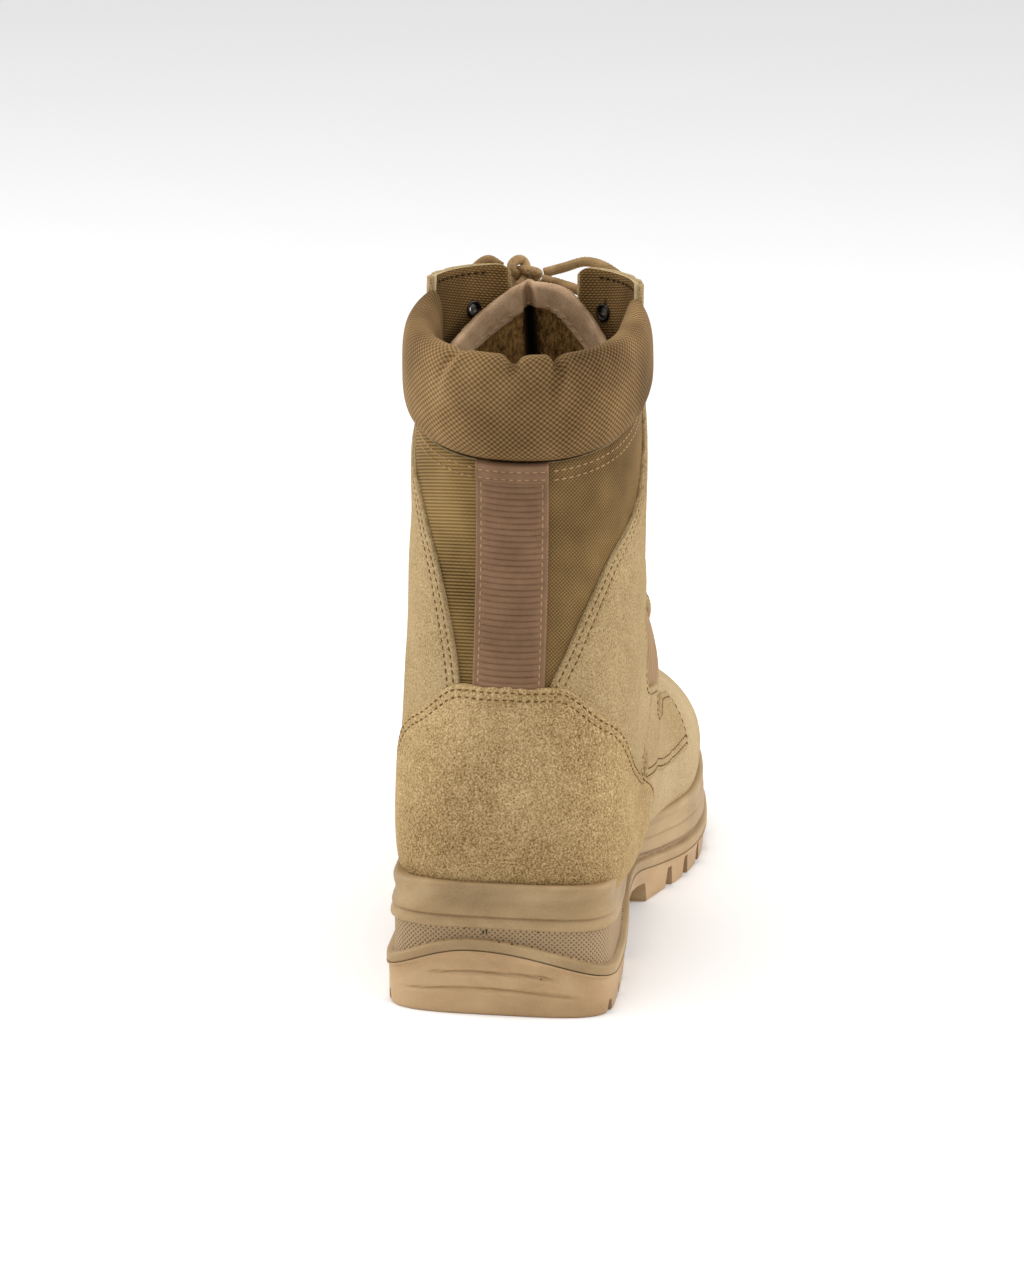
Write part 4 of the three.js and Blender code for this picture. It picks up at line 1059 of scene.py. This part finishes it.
# ------------------------------------------------------------------ sole
SOLE_LATERAL = [(0, 41), (40, 41.5), (75, 41.2), (110, 42.5), (145, 48), (175, 54), (202, 56.5)]
SOLE_LATERAL += [(225, 55.5), (250, 51), (278, 43), (304, 36)]
SOLE_MEDIAL = [(0, -40), (40, -40.3), (75, -38.6), (100, -36.6), (125, -36.5), (145, -38.5), (165, -44)]
SOLE_MEDIAL += [(185, -50), (205, -53.4), (225, -54.2), (250, -52), (278, -47), (304, -42)]
SOLE_TIP_Y = -6.0
TOE_ROUND = {"reach": 52, "power": 2.3}
HEEL_ROUND = {"reach": 26, "power": 3.8}
WAVE = {"rise": 9.8, "peakY": 10, "lateral": 33, "medial": 52, "power": 1.2}
TOE_SPRING = {"start": 214, "rise": 12, "power": 1.8}
# Heights down the sole's sides: x, height.
SPLIT = [(0, 13.5), (60, 13.5), (95, 17), (125, 17), (155, 12.5), (185, 9.8), (230, 9.6), (270, 13)]
SPLIT += [(304, 19.4)]
LOWER_RIDGE = [(0, 31), (60, 30.6), (110, 26), (160, 17.5), (220, 15.2), (270, 18.5), (304, 24)]
UPPER_RIDGE = [(0, 35.2), (60, 34.8), (110, 30), (160, 22.8), (220, 20.8), (270, 24), (304, 28.8)]


def split(x, y):
    """Where the midsole meets the outsole: a wave over the back of the heel."""
    span = np.where(y > WAVE["peakY"], WAVE["lateral"], WAVE["medial"])
    away = np.minimum(np.abs(y - WAVE["peakY"]) / span, 1)
    arch = np.maximum(np.cos(away * np.pi / 2), 0) ** WAVE["power"]
    wave = arch * rounding(x, 60, 60, 2) * (x < LENGTH / 4)
    return along(SPLIT, x) + WAVE["rise"] * wave


def tread(x):
    share = np.maximum(x - TOE_SPRING["start"], 0) / (LENGTH - TOE_SPRING["start"])
    return TOE_SPRING["rise"] * share ** TOE_SPRING["power"]


def sole_side(w, rows):
    """The outline down one side. w runs from 0 at the toe to 1 at the heel, slower near both."""
    x = LENGTH * (1 - w) ** 2 / (w**2 + (1 - w) ** 2)
    toe = rounding(x, LENGTH, TOE_ROUND["reach"], TOE_ROUND["power"])
    heel = rounding(x, 0, HEEL_ROUND["reach"], HEEL_ROUND["power"])
    centre = np.where(x > LENGTH / 2, SOLE_TIP_Y, 0.0)
    return np.stack([x, centre + (along(rows, x) - centre) * toe * heel], -1)


def even_side(rows, count):
    """The outline down one side, toe to heel, at even distances."""
    line = sole_side(np.linspace(0, 1, 4001), rows)
    lengths = lengths_along(line)
    return on_line(line, lengths, np.linspace(0, lengths[-1], count + 1))


def sole_outline(count):
    """The sole's widest outline as a ring, with the direction out of it and the length round it."""
    line = np.concatenate([even_side(SOLE_LATERAL, count), even_side(SOLE_MEDIAL, count)[::-1][1:-1]])
    for _ in range(3):
        line = (np.roll(line, 1, 0) + 2 * line + np.roll(line, -1, 0)) / 4
    tangent = unit(np.roll(line, -1, 0) - np.roll(line, 1, 0))
    out = np.stack([-tangent[:, 1], tangent[:, 0]], -1)
    if (out * (line - line.mean(0))).sum() < 0:
        out = -out
    return line, out, lengths_along(line)


SOLE_COUNT = 460
RECESS_ROWS = (8, 15)  # the rows of the midsole's textured band


def midsole():
    """A cup: lip, textured band, two ridges and a plain wall, then down inside to a floor."""
    line, out, lengths = sole_outline(SOLE_COUNT)
    x, y = line[:, 0], line[:, 1]
    base = split(x, y) + 0.15
    lip, top = base + 3.9, along(RIM, x)
    low = np.maximum(along(LOWER_RIDGE, x), lip + 0.4)
    high = np.maximum(along(UPPER_RIDGE, x), low + 2.5)
    # Each stretch: its heights at its start and end, and how far in each of its rows lies.
    stretches = [
        (base, base, [1.2]),
        (base + 0.1, lip - 0.7, [0.35, 0.05, 0.0, 0.0, 0.1]),
        (lip - 0.45, lip, [0.3, 0.9, 1.9]),
        (lip + 0.1, low - 0.1, [2.5, 2.7, 2.75, 2.75, 2.75, 2.7, 2.55]),
        (low, low + 0.6, [2.4, 1.7, 1.25]),
        (low + 0.9, high - 0.8, [1.1, 1.1, 1.25, 1.5, 1.8]),
        (high - 0.5, high + 0.7, [1.9, 2.3, 2.4, 1.9, 1.55]),
        (high + 1.1, top - 1.3, [1.5, 1.75, 2.2, 2.6, 2.7, 2.5, 2.15, 1.9, 1.85]),
        (top - 1.0, top, [1.9, 2.05, 2.35, 3.0]),
        (top + 0.05, top + 0.05, [3.6]),
        (top - 0.3, top - 0.3, [6.6]),
        (base + 2.0, base + 2.0, [8.0]),
    ]
    rows = []
    for start, end, insets in stretches:
        for share, inset in zip(np.linspace(0, 1, len(insets)), insets):
            rows.append(np.column_stack([line - out * inset, mix(start, end, share)]))
    points, faces = ring_body(rows)
    kinds = [int(RECESS_ROWS[0] <= i // len(line) < RECESS_ROWS[1]) for i in range(len(faces))]
    weave = np.stack([np.tile(lengths, len(rows)), points[:, 2]], -1)
    looks = [LOOKS["midsole"], LOOKS["recess"]]
    made = face_out(make_mesh("midsole_cup", points, faces, looks, kinds, weave))
    made.data.set_sharp_from_angle(angle=math.radians(50))
    return made


def ring_body(rows):
    """Points and faces of a body that is rings of points round the sole, closed at both ends."""
    n = len(rows[0])
    faces = ring_faces(len(rows), n).tolist()
    return np.concatenate(rows), faces + closing_ladder(0, n) + closing_ladder((len(rows) - 1) * n, n)


# Moulding flecks and a nick at the back of the heel: x, y, z, and how far each runs up and across.
FLECKS = [
    (1.9, 12.0, 31.0, 0.5, 0.4),
    (2.5, 5.8, 29.6, 1.6, 0.1),
    (2.5, 4.6, 29.8, 1.5, -0.1),
    (1.8, -12.5, 31.4, 0.9, 0.3),
    (1.8, -13.6, 30.7, 0.2, 0.7),
    (1.2, 13.4, 26.9, 0.3, 0.6),
    (1.0, 5.3, 26.6, 0.6, 0.2),
    (1.0, 0.0, 26.7, 0.3, 0.7),
    (1.0, -4.5, 26.2, 0.2, 0.8),
    (0.95, -14.9, 14.1, 0.3, 0.5),
]


def flecks():
    """Each fleck is one short stitch of dark thread's size, half sunk in the rubber."""
    rows = []
    for x, y, z, up, across in FLECKS:
        line = np.array([(x, y - across * k, z + up * k) for k in (-0.5, 0, 0.5)])
        rows.append((line, np.array([(-1.0, 0, 0)] * 3)))
    return stitches("heel_flecks", rows, LOOKS["dark_thread"], 5.0, 1.0, 0.24)


def closing_ladder(start, n):
    """Quads across a ring, between its lateral and medial halves."""
    rungs = []
    for k in range(n // 2 - 1):
        ring = [start + i for i in (k, k + 1, n - 2 - k, n - 1 - k)]
        rungs.append(tuple(dict.fromkeys(ring)))
    return [rung for rung in rungs if len(rung) > 2]


# The grooves between the lugs: x at the sole's side, width, how far each sweeps forwards, depth.
GROOVES = [(x, 7.5, 9, 7.8) for x in (167, 184, 203, 223, 242, 260, 278)]
GROOVES += [(x, 5, 4, 4.6) for x in (10.5, 31, 51)]
GROOVE_TAPER = 0.45  # a groove's width at its top, as a share of its width at the ground
GROOVE_INNER = 9  # how far from the centre line a groove stops
CUTTER_REACH = 90
WAIST = [(76, -5), (80, 11), (122, 12), (148, 8), (153, -5)]  # the recess from the side: x, height
FLUTES = [(15.6, 26), (9.6, 34)]  # height at the middle of the heel, and how far each reaches
# How far in the outsole's wall lies: share of the way up, inset.
OUTSOLE_WALL = [(0, 2.1), (0.02, 1.6), (0.05, 1.35), (0.09, 1.3), (0.6, 1.1), (0.93, 0.8), (0.96, 0.1)]
OUTSOLE_WALL += [(1, 0.0)]


def outsole():
    """The heel block, waist and forefoot, with two flutes round the back and grooves between lugs."""
    line, out, _ = sole_outline(SOLE_COUNT)
    x, y = line[:, 0], line[:, 1]
    ground, top = tread(x), split(x, y)
    behind = 1 - smooth(6, 14, x)
    rows = []
    shares = np.concatenate([[0, 0.02, 0.05, 0.09], np.linspace(0.13, 0.93, 26), [0.96, 0.985, 1.0]])
    for share in shares:
        height = mix(ground, top, share)
        inset = np.interp(share, *zip(*OUTSOLE_WALL))
        flute = np.zeros_like(x)
        for middle, reach in FLUTES:
            arch = middle - 0.0022 * (y - 5) ** 2
            trough = 0.9 * bell(height, arch, 0.5) - 0.4 * bell(height, arch - 1.3, 0.8)
            flute = flute + trough * (1 - smooth(reach - 8, reach, np.abs(y - 3)))
        rows.append(np.column_stack([line - out * (inset + flute * behind)[:, None], height]))
    made = face_out(make_mesh("outsole_rubber", *ring_body(rows), [LOOKS["outsole"]]))
    subtract(made, tread_cutter())
    made.data.set_sharp_from_angle(angle=math.radians(35))
    return made


def prism(outline, low, high, upright=True, taper=1.0):
    """Points and faces of a prism: up Z from an (x, y) outline, or across Y from an (x, z) one.
    taper narrows an upright prism's far end in x, about its middle."""
    outline = np.asarray(outline, float)
    n = len(outline)
    ends = []
    for level, wide in ((low, 1.0), (high, taper)):
        flat = np.full(n, float(level))
        across = outline[:, 0]
        if upright:
            pairs = across.reshape(-1, 2)
            middle = (pairs[:, 0] + pairs[:, 1])[:, None] / 2
            across = (middle + (pairs - middle) * wide).ravel()
        columns = (across, outline[:, 1], flat) if upright else (across, flat, outline[:, 1])
        ends.append(np.stack(columns, -1))
    return np.concatenate(ends), ring_faces(2, n).tolist() + [tuple(range(n)), tuple(range(n, 2 * n))]


def tread_cutter():
    """The waist's recess and the grooves between the lugs, as one mesh of separate prisms."""
    parts = [prism(WAIST, -CUTTER_REACH, CUTTER_REACH, upright=False)]
    for x, width, sweep, depth in GROOVES:
        half, far = width / 2, x + sweep
        for side in (1, -1):
            outer, inner = CUTTER_REACH * side, GROOVE_INNER * side
            outline = [(x - half, outer), (x + half, outer), (far + half, inner), (far - half, inner)]
            parts.append(prism(outline, -1, float(tread(x)) + depth, taper=GROOVE_TAPER))
    points, faces = [], []
    for spots, sides in parts:
        start = sum(len(p) for p in points)
        points.append(spots)
        faces += [tuple(i + start for i in face) for face in sides]
    return face_out(make_mesh("tread_cutter", np.concatenate(points), faces, [LOOKS["outsole"]]))


# ------------------------------------------------------------------ eyelets
# The ring's section: radius, and height off the wall's inner face, then off its outer one.
EYELET_INSIDE = [(2.0, -0.1), (2.25, -0.55), (2.7, -0.75), (3.15, -0.55), (3.35, -0.1), (3.2, 0.15)]
EYELET_INSIDE += [(2.55, 0.1)]
EYELET_OUTSIDE = [(2.45, -0.1), (3.4, -0.1), (3.6, 0.15), (3.4, 0.55), (2.9, 0.8), (2.3, 0.6), (2.0, 0.1)]
EYELET_SIDES = 36


def eyelet_ring(name, u, turn):
    """A dark bronze ring through the wall, with a rolled lip on each face."""
    profile = [(radius, height - WALL) for radius, height in EYELET_INSIDE]
    profile += [(radius, height + EYESTAY_LIFT) for radius, height in EYELET_OUTSIDE]
    up, spokes = spokes_at(u, turn, EYELET_SIDES)
    centre = cloth_point(u, turn, np.array(0.0))
    points = np.concatenate([centre + spokes * radius + up * height for radius, height in profile])
    faces = ring_faces(len(profile) + 1, EYELET_SIDES) % len(points)
    return face_out(make_mesh(name + "_ring", points, faces, [LOOKS["bronze"]]))


# ------------------------------------------------------------------ laces
def smooth_route(points, step=0.7):
    """A smooth line through given points, at even steps."""
    points = np.asarray(points, float)
    padded = np.concatenate([[2 * points[0] - points[1]], points, [2 * points[-1] - points[-2]]])
    line = []
    for a, b, c, d in zip(padded[:-3], padded[1:-2], padded[2:-1], padded[3:]):
        steps = [max(np.linalg.norm(q - p), 1e-6) ** 0.5 for p, q in ((a, b), (b, c), (c, d))]
        knots = np.cumsum([0] + steps)
        for t in np.linspace(knots[1], knots[2], 24, endpoint=False):
            line.append(centripetal(a, b, c, d, knots, t))
    line.append(points[-1])
    return resample(np.array(line), step)


def centripetal(a, b, c, d, knots, t):
    def blend(p, q, start, end):
        return p * (end - t) / (end - start) + q * (t - start) / (end - start)

    k0, k1, k2, k3 = knots
    ab, bc, cd = blend(a, b, k0, k1), blend(b, c, k1, k2), blend(c, d, k2, k3)
    return blend(blend(ab, bc, k0, k2), blend(bc, cd, k1, k3), k1, k2)


CORD_SIDES = 20
BRAID = {"strands": 6, "pitch": 8.0, "depth": 0.34}


def cord_points(route, radius, closed=False):
    """Rings of points round a route: a braided cord, its strands crossing both ways."""
    tangent = np.gradient(route, axis=0)
    if closed:
        tangent = np.roll(route, -1, 0) - np.roll(route, 1, 0)
    tangent = unit(tangent)
    sides = [unit(np.cross(tangent[0], [0.3, 0.2, 1.0]))]
    for t in tangent[1:]:
        sides.append(unit(sides[-1] - t * np.dot(sides[-1], t)))
    sides = np.array(sides)
    ups = np.cross(tangent, sides)
    angle = np.linspace(0, 2 * np.pi, CORD_SIDES, endpoint=False)[None, :]
    winding = 2 * np.pi * lengths_along(route)[:, None] / BRAID["pitch"]
    half = BRAID["strands"] / 2
    one, two = np.cos(half * (angle + winding)), np.cos(half * (angle - winding))
    bumps = np.maximum(np.abs(one), np.abs(two)) - 0.75
    radii = radius + BRAID["depth"] * bumps * 2.2
    loop = np.cos(angle)[..., None] * sides[:, None, :] + np.sin(angle)[..., None] * ups[:, None, :]
    return route[:, None, :] + loop * radii[..., None]


def cord_mesh(name, routes, radius=LACE_RADIUS - 0.1, closed=False):
    """One mesh of cords along routes, each a ring where closed is true, or capped at both ends."""
    points, faces = [], []
    for route in routes:
        rings = cord_points(route, radius, closed)
        start = sum(len(p) for p in points)
        n = len(rings)
        points.append(rings.reshape(-1, 3))
        last = (n - 1) * CORD_SIDES
        if closed:
            faces += (ring_faces(n + 1, CORD_SIDES) % (n * CORD_SIDES) + start).tolist()
        else:
            faces += ring_faces(n, CORD_SIDES, start).tolist()
            faces += [tuple(range(end, end + CORD_SIDES)) for end in (start, start + last)]
    return face_out(make_mesh(name, np.concatenate(points), faces, [LOOKS["lace"]]))


LACE_ROUTES = {
    "lace_loop_lateral": [
        (131, 18, 239), (129, 23, 241.6), (124.5, 30, 235.5), (117.5, 36.5, 227), (112.5, 38.5, 215),
        (111, 38, 203), (115, 34, 192), (121.5, 27.5, 190), (127.5, 21, 198), (131, 16, 212),
        (133, 13, 225), (132.5, 12.5, 230.4),
    ],
    "lace_loop_medial": [
        (133, 3, 237), (134.2, -4, 239), (133.5, -12, 241.6), (130.5, -20, 240.2), (124.5, -27.5, 235.5),
        (117, -33.5, 224.5), (112, -36, 212), (112, -34.5, 199), (117, -29.5, 190.5), (124, -22, 190),
        (129.5, -13, 198), (132.5, -4, 212), (133, 4, 224.5), (132, 7.5, 230.4),
    ],
    "lace_end_lateral": [
        (138.4, 12.5, 236), (139.5, 15, 227), (137.5, 19, 208), (134, 22, 190), (130.5, 24, 172),
    ],
    "lace_end_medial": [
        (138.4, 8, 236), (139.8, 3, 226), (138.5, -4, 207), (135, -9, 188), (131.5, -11.5, 169),
    ],
}
KNOT = {"at": (131.5, 10.5, 237), "size": (10, 13, 10.4)}
KNOT_ENTRIES = {
    1: [(125, 19, 233.5), (127.5, 17.6, 235)],
    -1: [(123.5, -13, 231), (127.5, -4, 234.2), (129, 3, 235.5)],
}
LACED_PAIRS = 7
UNDER_LIFT = -WALL - LACE_RADIUS - 0.25
OVER_LIFT = EYESTAY_LIFT + LACE_RADIUS + 0.1


def lace_half(start):
    """One half of the lace: up through each eyelet, over the throat, under the other facing."""
    eyelets = eyelet_spots()
    stops = [eyelets[2 * i + (i + start) % 2] for i in range(LACED_PAIRS)]
    spots = [(stops[0][1], 0.0, UNDER_LIFT + 2.2)]  # u, turn and lift
    for i, (_, u, turn, side) in enumerate(stops):
        here = turn if turn < 0.5 else turn - 1
        inner = float(turn_at(u, side * (throat_half(u) - 1)))
        hole = float(turn_at(u, side * (throat_half(u) + 1.5)))
        spots += [(u - 0.05, mix(hole, here, 0.3), UNDER_LIFT), (u, mix(hole, here, 0.86), UNDER_LIFT + 0.6)]
        spots += [(u, here, -0.6), (u + 0.03, mix(here, hole, 0.14), OVER_LIFT - 0.2)]
        spots += [(u + 0.1, mix(here, hole, 0.6), OVER_LIFT)]
        if i + 1 < len(stops):
            step = stops[i + 1][1] - u
            spots += [(u + 0.24 * step, inner * 0.8, OVER_LIFT - 0.7)]
            spots += [(u + 0.48 * step, 0.0, 1.9 if start else -1.9), (u + 0.72 * step, -inner * 0.85, -2.4)]
    return smooth_route([*cloth_point(*np.array(spots).T), *KNOT_ENTRIES[stops[-1][3]]])


def knot():
    """The bow's knot: one closed, interlaced turn of cord drawn tight."""
    t = np.linspace(0, 2 * np.pi, 220, endpoint=False)
    loops = np.cos(t) - 1.6 * np.cos(2 * t), np.sin(t) + 1.6 * np.sin(2 * t)
    shape = np.stack([np.sin(3 * t) * 0.9, *loops], -1)
    size = np.array(KNOT["size"]) / 2 - LACE_RADIUS * 0.55
    route = np.array(KNOT["at"]) + shape / np.abs(shape).max(0) * size
    return cord_mesh("lace_knot_tied", [route], LACE_RADIUS - 0.15, closed=True)


def free_lace(name):
    """A loop or a free end of the bow, from the knot on."""
    route = smooth_route(LACE_ROUTES[name])
    made = cord_mesh(name + "_cord", [route])
    return made


# ------------------------------------------------------------------ stage, lights and camera
VIEW = {"azimuth": 5.94, "pitch": 14.09, "roll": 1.25, "lens": 186.7}
CAMERA_AT = (-2200 * math.cos(math.radians(6)), -2200 * math.sin(math.radians(6)), 687.0)
FLOOR_SIZE = 12  # metres, as are the lights' places and sizes
LIGHTS = {
    "left": {"at": (0.0, 1.5, 0.9), "towards": (0, 0, 0.12), "size": 1.0, "power": 16.5},
    "right": {"at": (0.1, -1.5, 0.9), "towards": (0, 0, 0.12), "size": 1.0, "power": 15.5},
    "top": {"at": (-0.3, 0.1, 1.9), "towards": (0, 0, 0.1), "size": 0.8, "power": 10},
}
FLOOR_COLOUR = (0.97, 0.97, 0.97, 1)
WHITE = (1, 1, 1, 1)
SKY = 0.67  # the world's strength


def camera():
    data = bpy.data.cameras.new("camera")
    data.lens = VIEW["lens"]
    data.sensor_width = 36
    data.sensor_fit = "AUTO"
    data.clip_end = 20
    made = add_object("camera", data)
    azimuth, pitch = math.radians(VIEW["azimuth"]), math.radians(VIEW["pitch"])
    turn = Matrix.Rotation(azimuth - math.pi / 2, 4, "Z") @ Matrix.Rotation(math.pi / 2 - pitch, 4, "X")
    turn = turn @ Matrix.Rotation(math.radians(VIEW["roll"]), 4, "Z")
    made.matrix_world = Matrix.Translation(place([CAMERA_AT])[0].tolist()) @ turn
    bpy.context.scene.camera = made


def area_light(name, at, towards, size, power):
    data = bpy.data.lights.new(name, "AREA")
    data.shape = "DISK"
    data.size = size
    data.energy = power
    made = add_object(name, data)
    made.location = at
    made.rotation_euler = (Vector(towards) - Vector(at)).to_track_quat("-Z", "Y").to_euler()


def stage():
    bpy.ops.mesh.primitive_plane_add(size=FLOOR_SIZE)
    floor = bpy.context.object
    floor.name = "floor"
    look = Shader("floor", Roughness=0.9, Specular_IOR_Level=0.0, Base_Color=FLOOR_COLOUR)
    floor.data.materials.append(look.material)
    world = bpy.data.worlds.new("world")
    world.use_nodes = True
    background = world.node_tree.nodes["Background"]
    background.inputs["Color"].default_value = WHITE
    background.inputs["Strength"].default_value = SKY
    bpy.context.scene.world = world
    bpy.context.scene.view_settings.view_transform = "Standard"
    for name, facts in LIGHTS.items():
        area_light(name, **facts)


# ------------------------------------------------------------------ the boot
def ride(piece, slot, *nodes):
    """Puts a piece on the boot's body, in place of those nodes. slot is not used."""
    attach(piece, "root")
    if nodes:
        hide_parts(*nodes)
    return piece


def build():
    ride(upper_shell(), "nylon", "upper")
    ride(vamp(), "suede", "vamp")
    for side in (1, -1):
        ride(quarter(side), "suede")
        ride(eyestay(side), "suede")
    ride(heel_counter(), "suede", "heel_counter")
    pad = ride(collar_pad(), "nylon", "collar_pad")
    ride(back_strap(), "webbing", "back_strap")
    lined, rim_row = tongue()
    ride(lined, "webbing", "tongue")
    ride(stitches("stitches_tongue", [rim_row], LOOKS["pale_thread"], 3.4, 0.55, 0.3), "webbing")
    ride(stitches("stitches_suede", THREADS["tan_thread"], LOOKS["tan_thread"]), "suede")
    ride(stitches("stitches_nylon", THREADS["pale_thread"], LOOKS["pale_thread"]), "nylon")
    ride(stitches("stitches_facing", THREADS["dark_thread"], LOOKS["dark_thread"], 3.0, 0.7, 0.45), "nylon")
    ride(midsole(), "midsole", "midsole")
    ride(flecks(), "midsole")
    ride(outsole(), "outsole", "outsole")
    for name, u, turn, _ in eyelet_spots():
        ride(eyelet_ring(name, u, turn), "bronze", name)
    crossings = cord_mesh("lace_crossings_cord", [lace_half(0), lace_half(1)])
    ride(crossings, "lace", "lace_crossings")
    ride(knot(), "lace", "lace_knot")
    for name in LACE_ROUTES:
        ride(free_lace(name), "lace", name)
    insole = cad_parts["insole"]
    insole.data.materials.clear()
    insole.data.materials.append(LOOKS["lining"])


camera()
stage()
build()
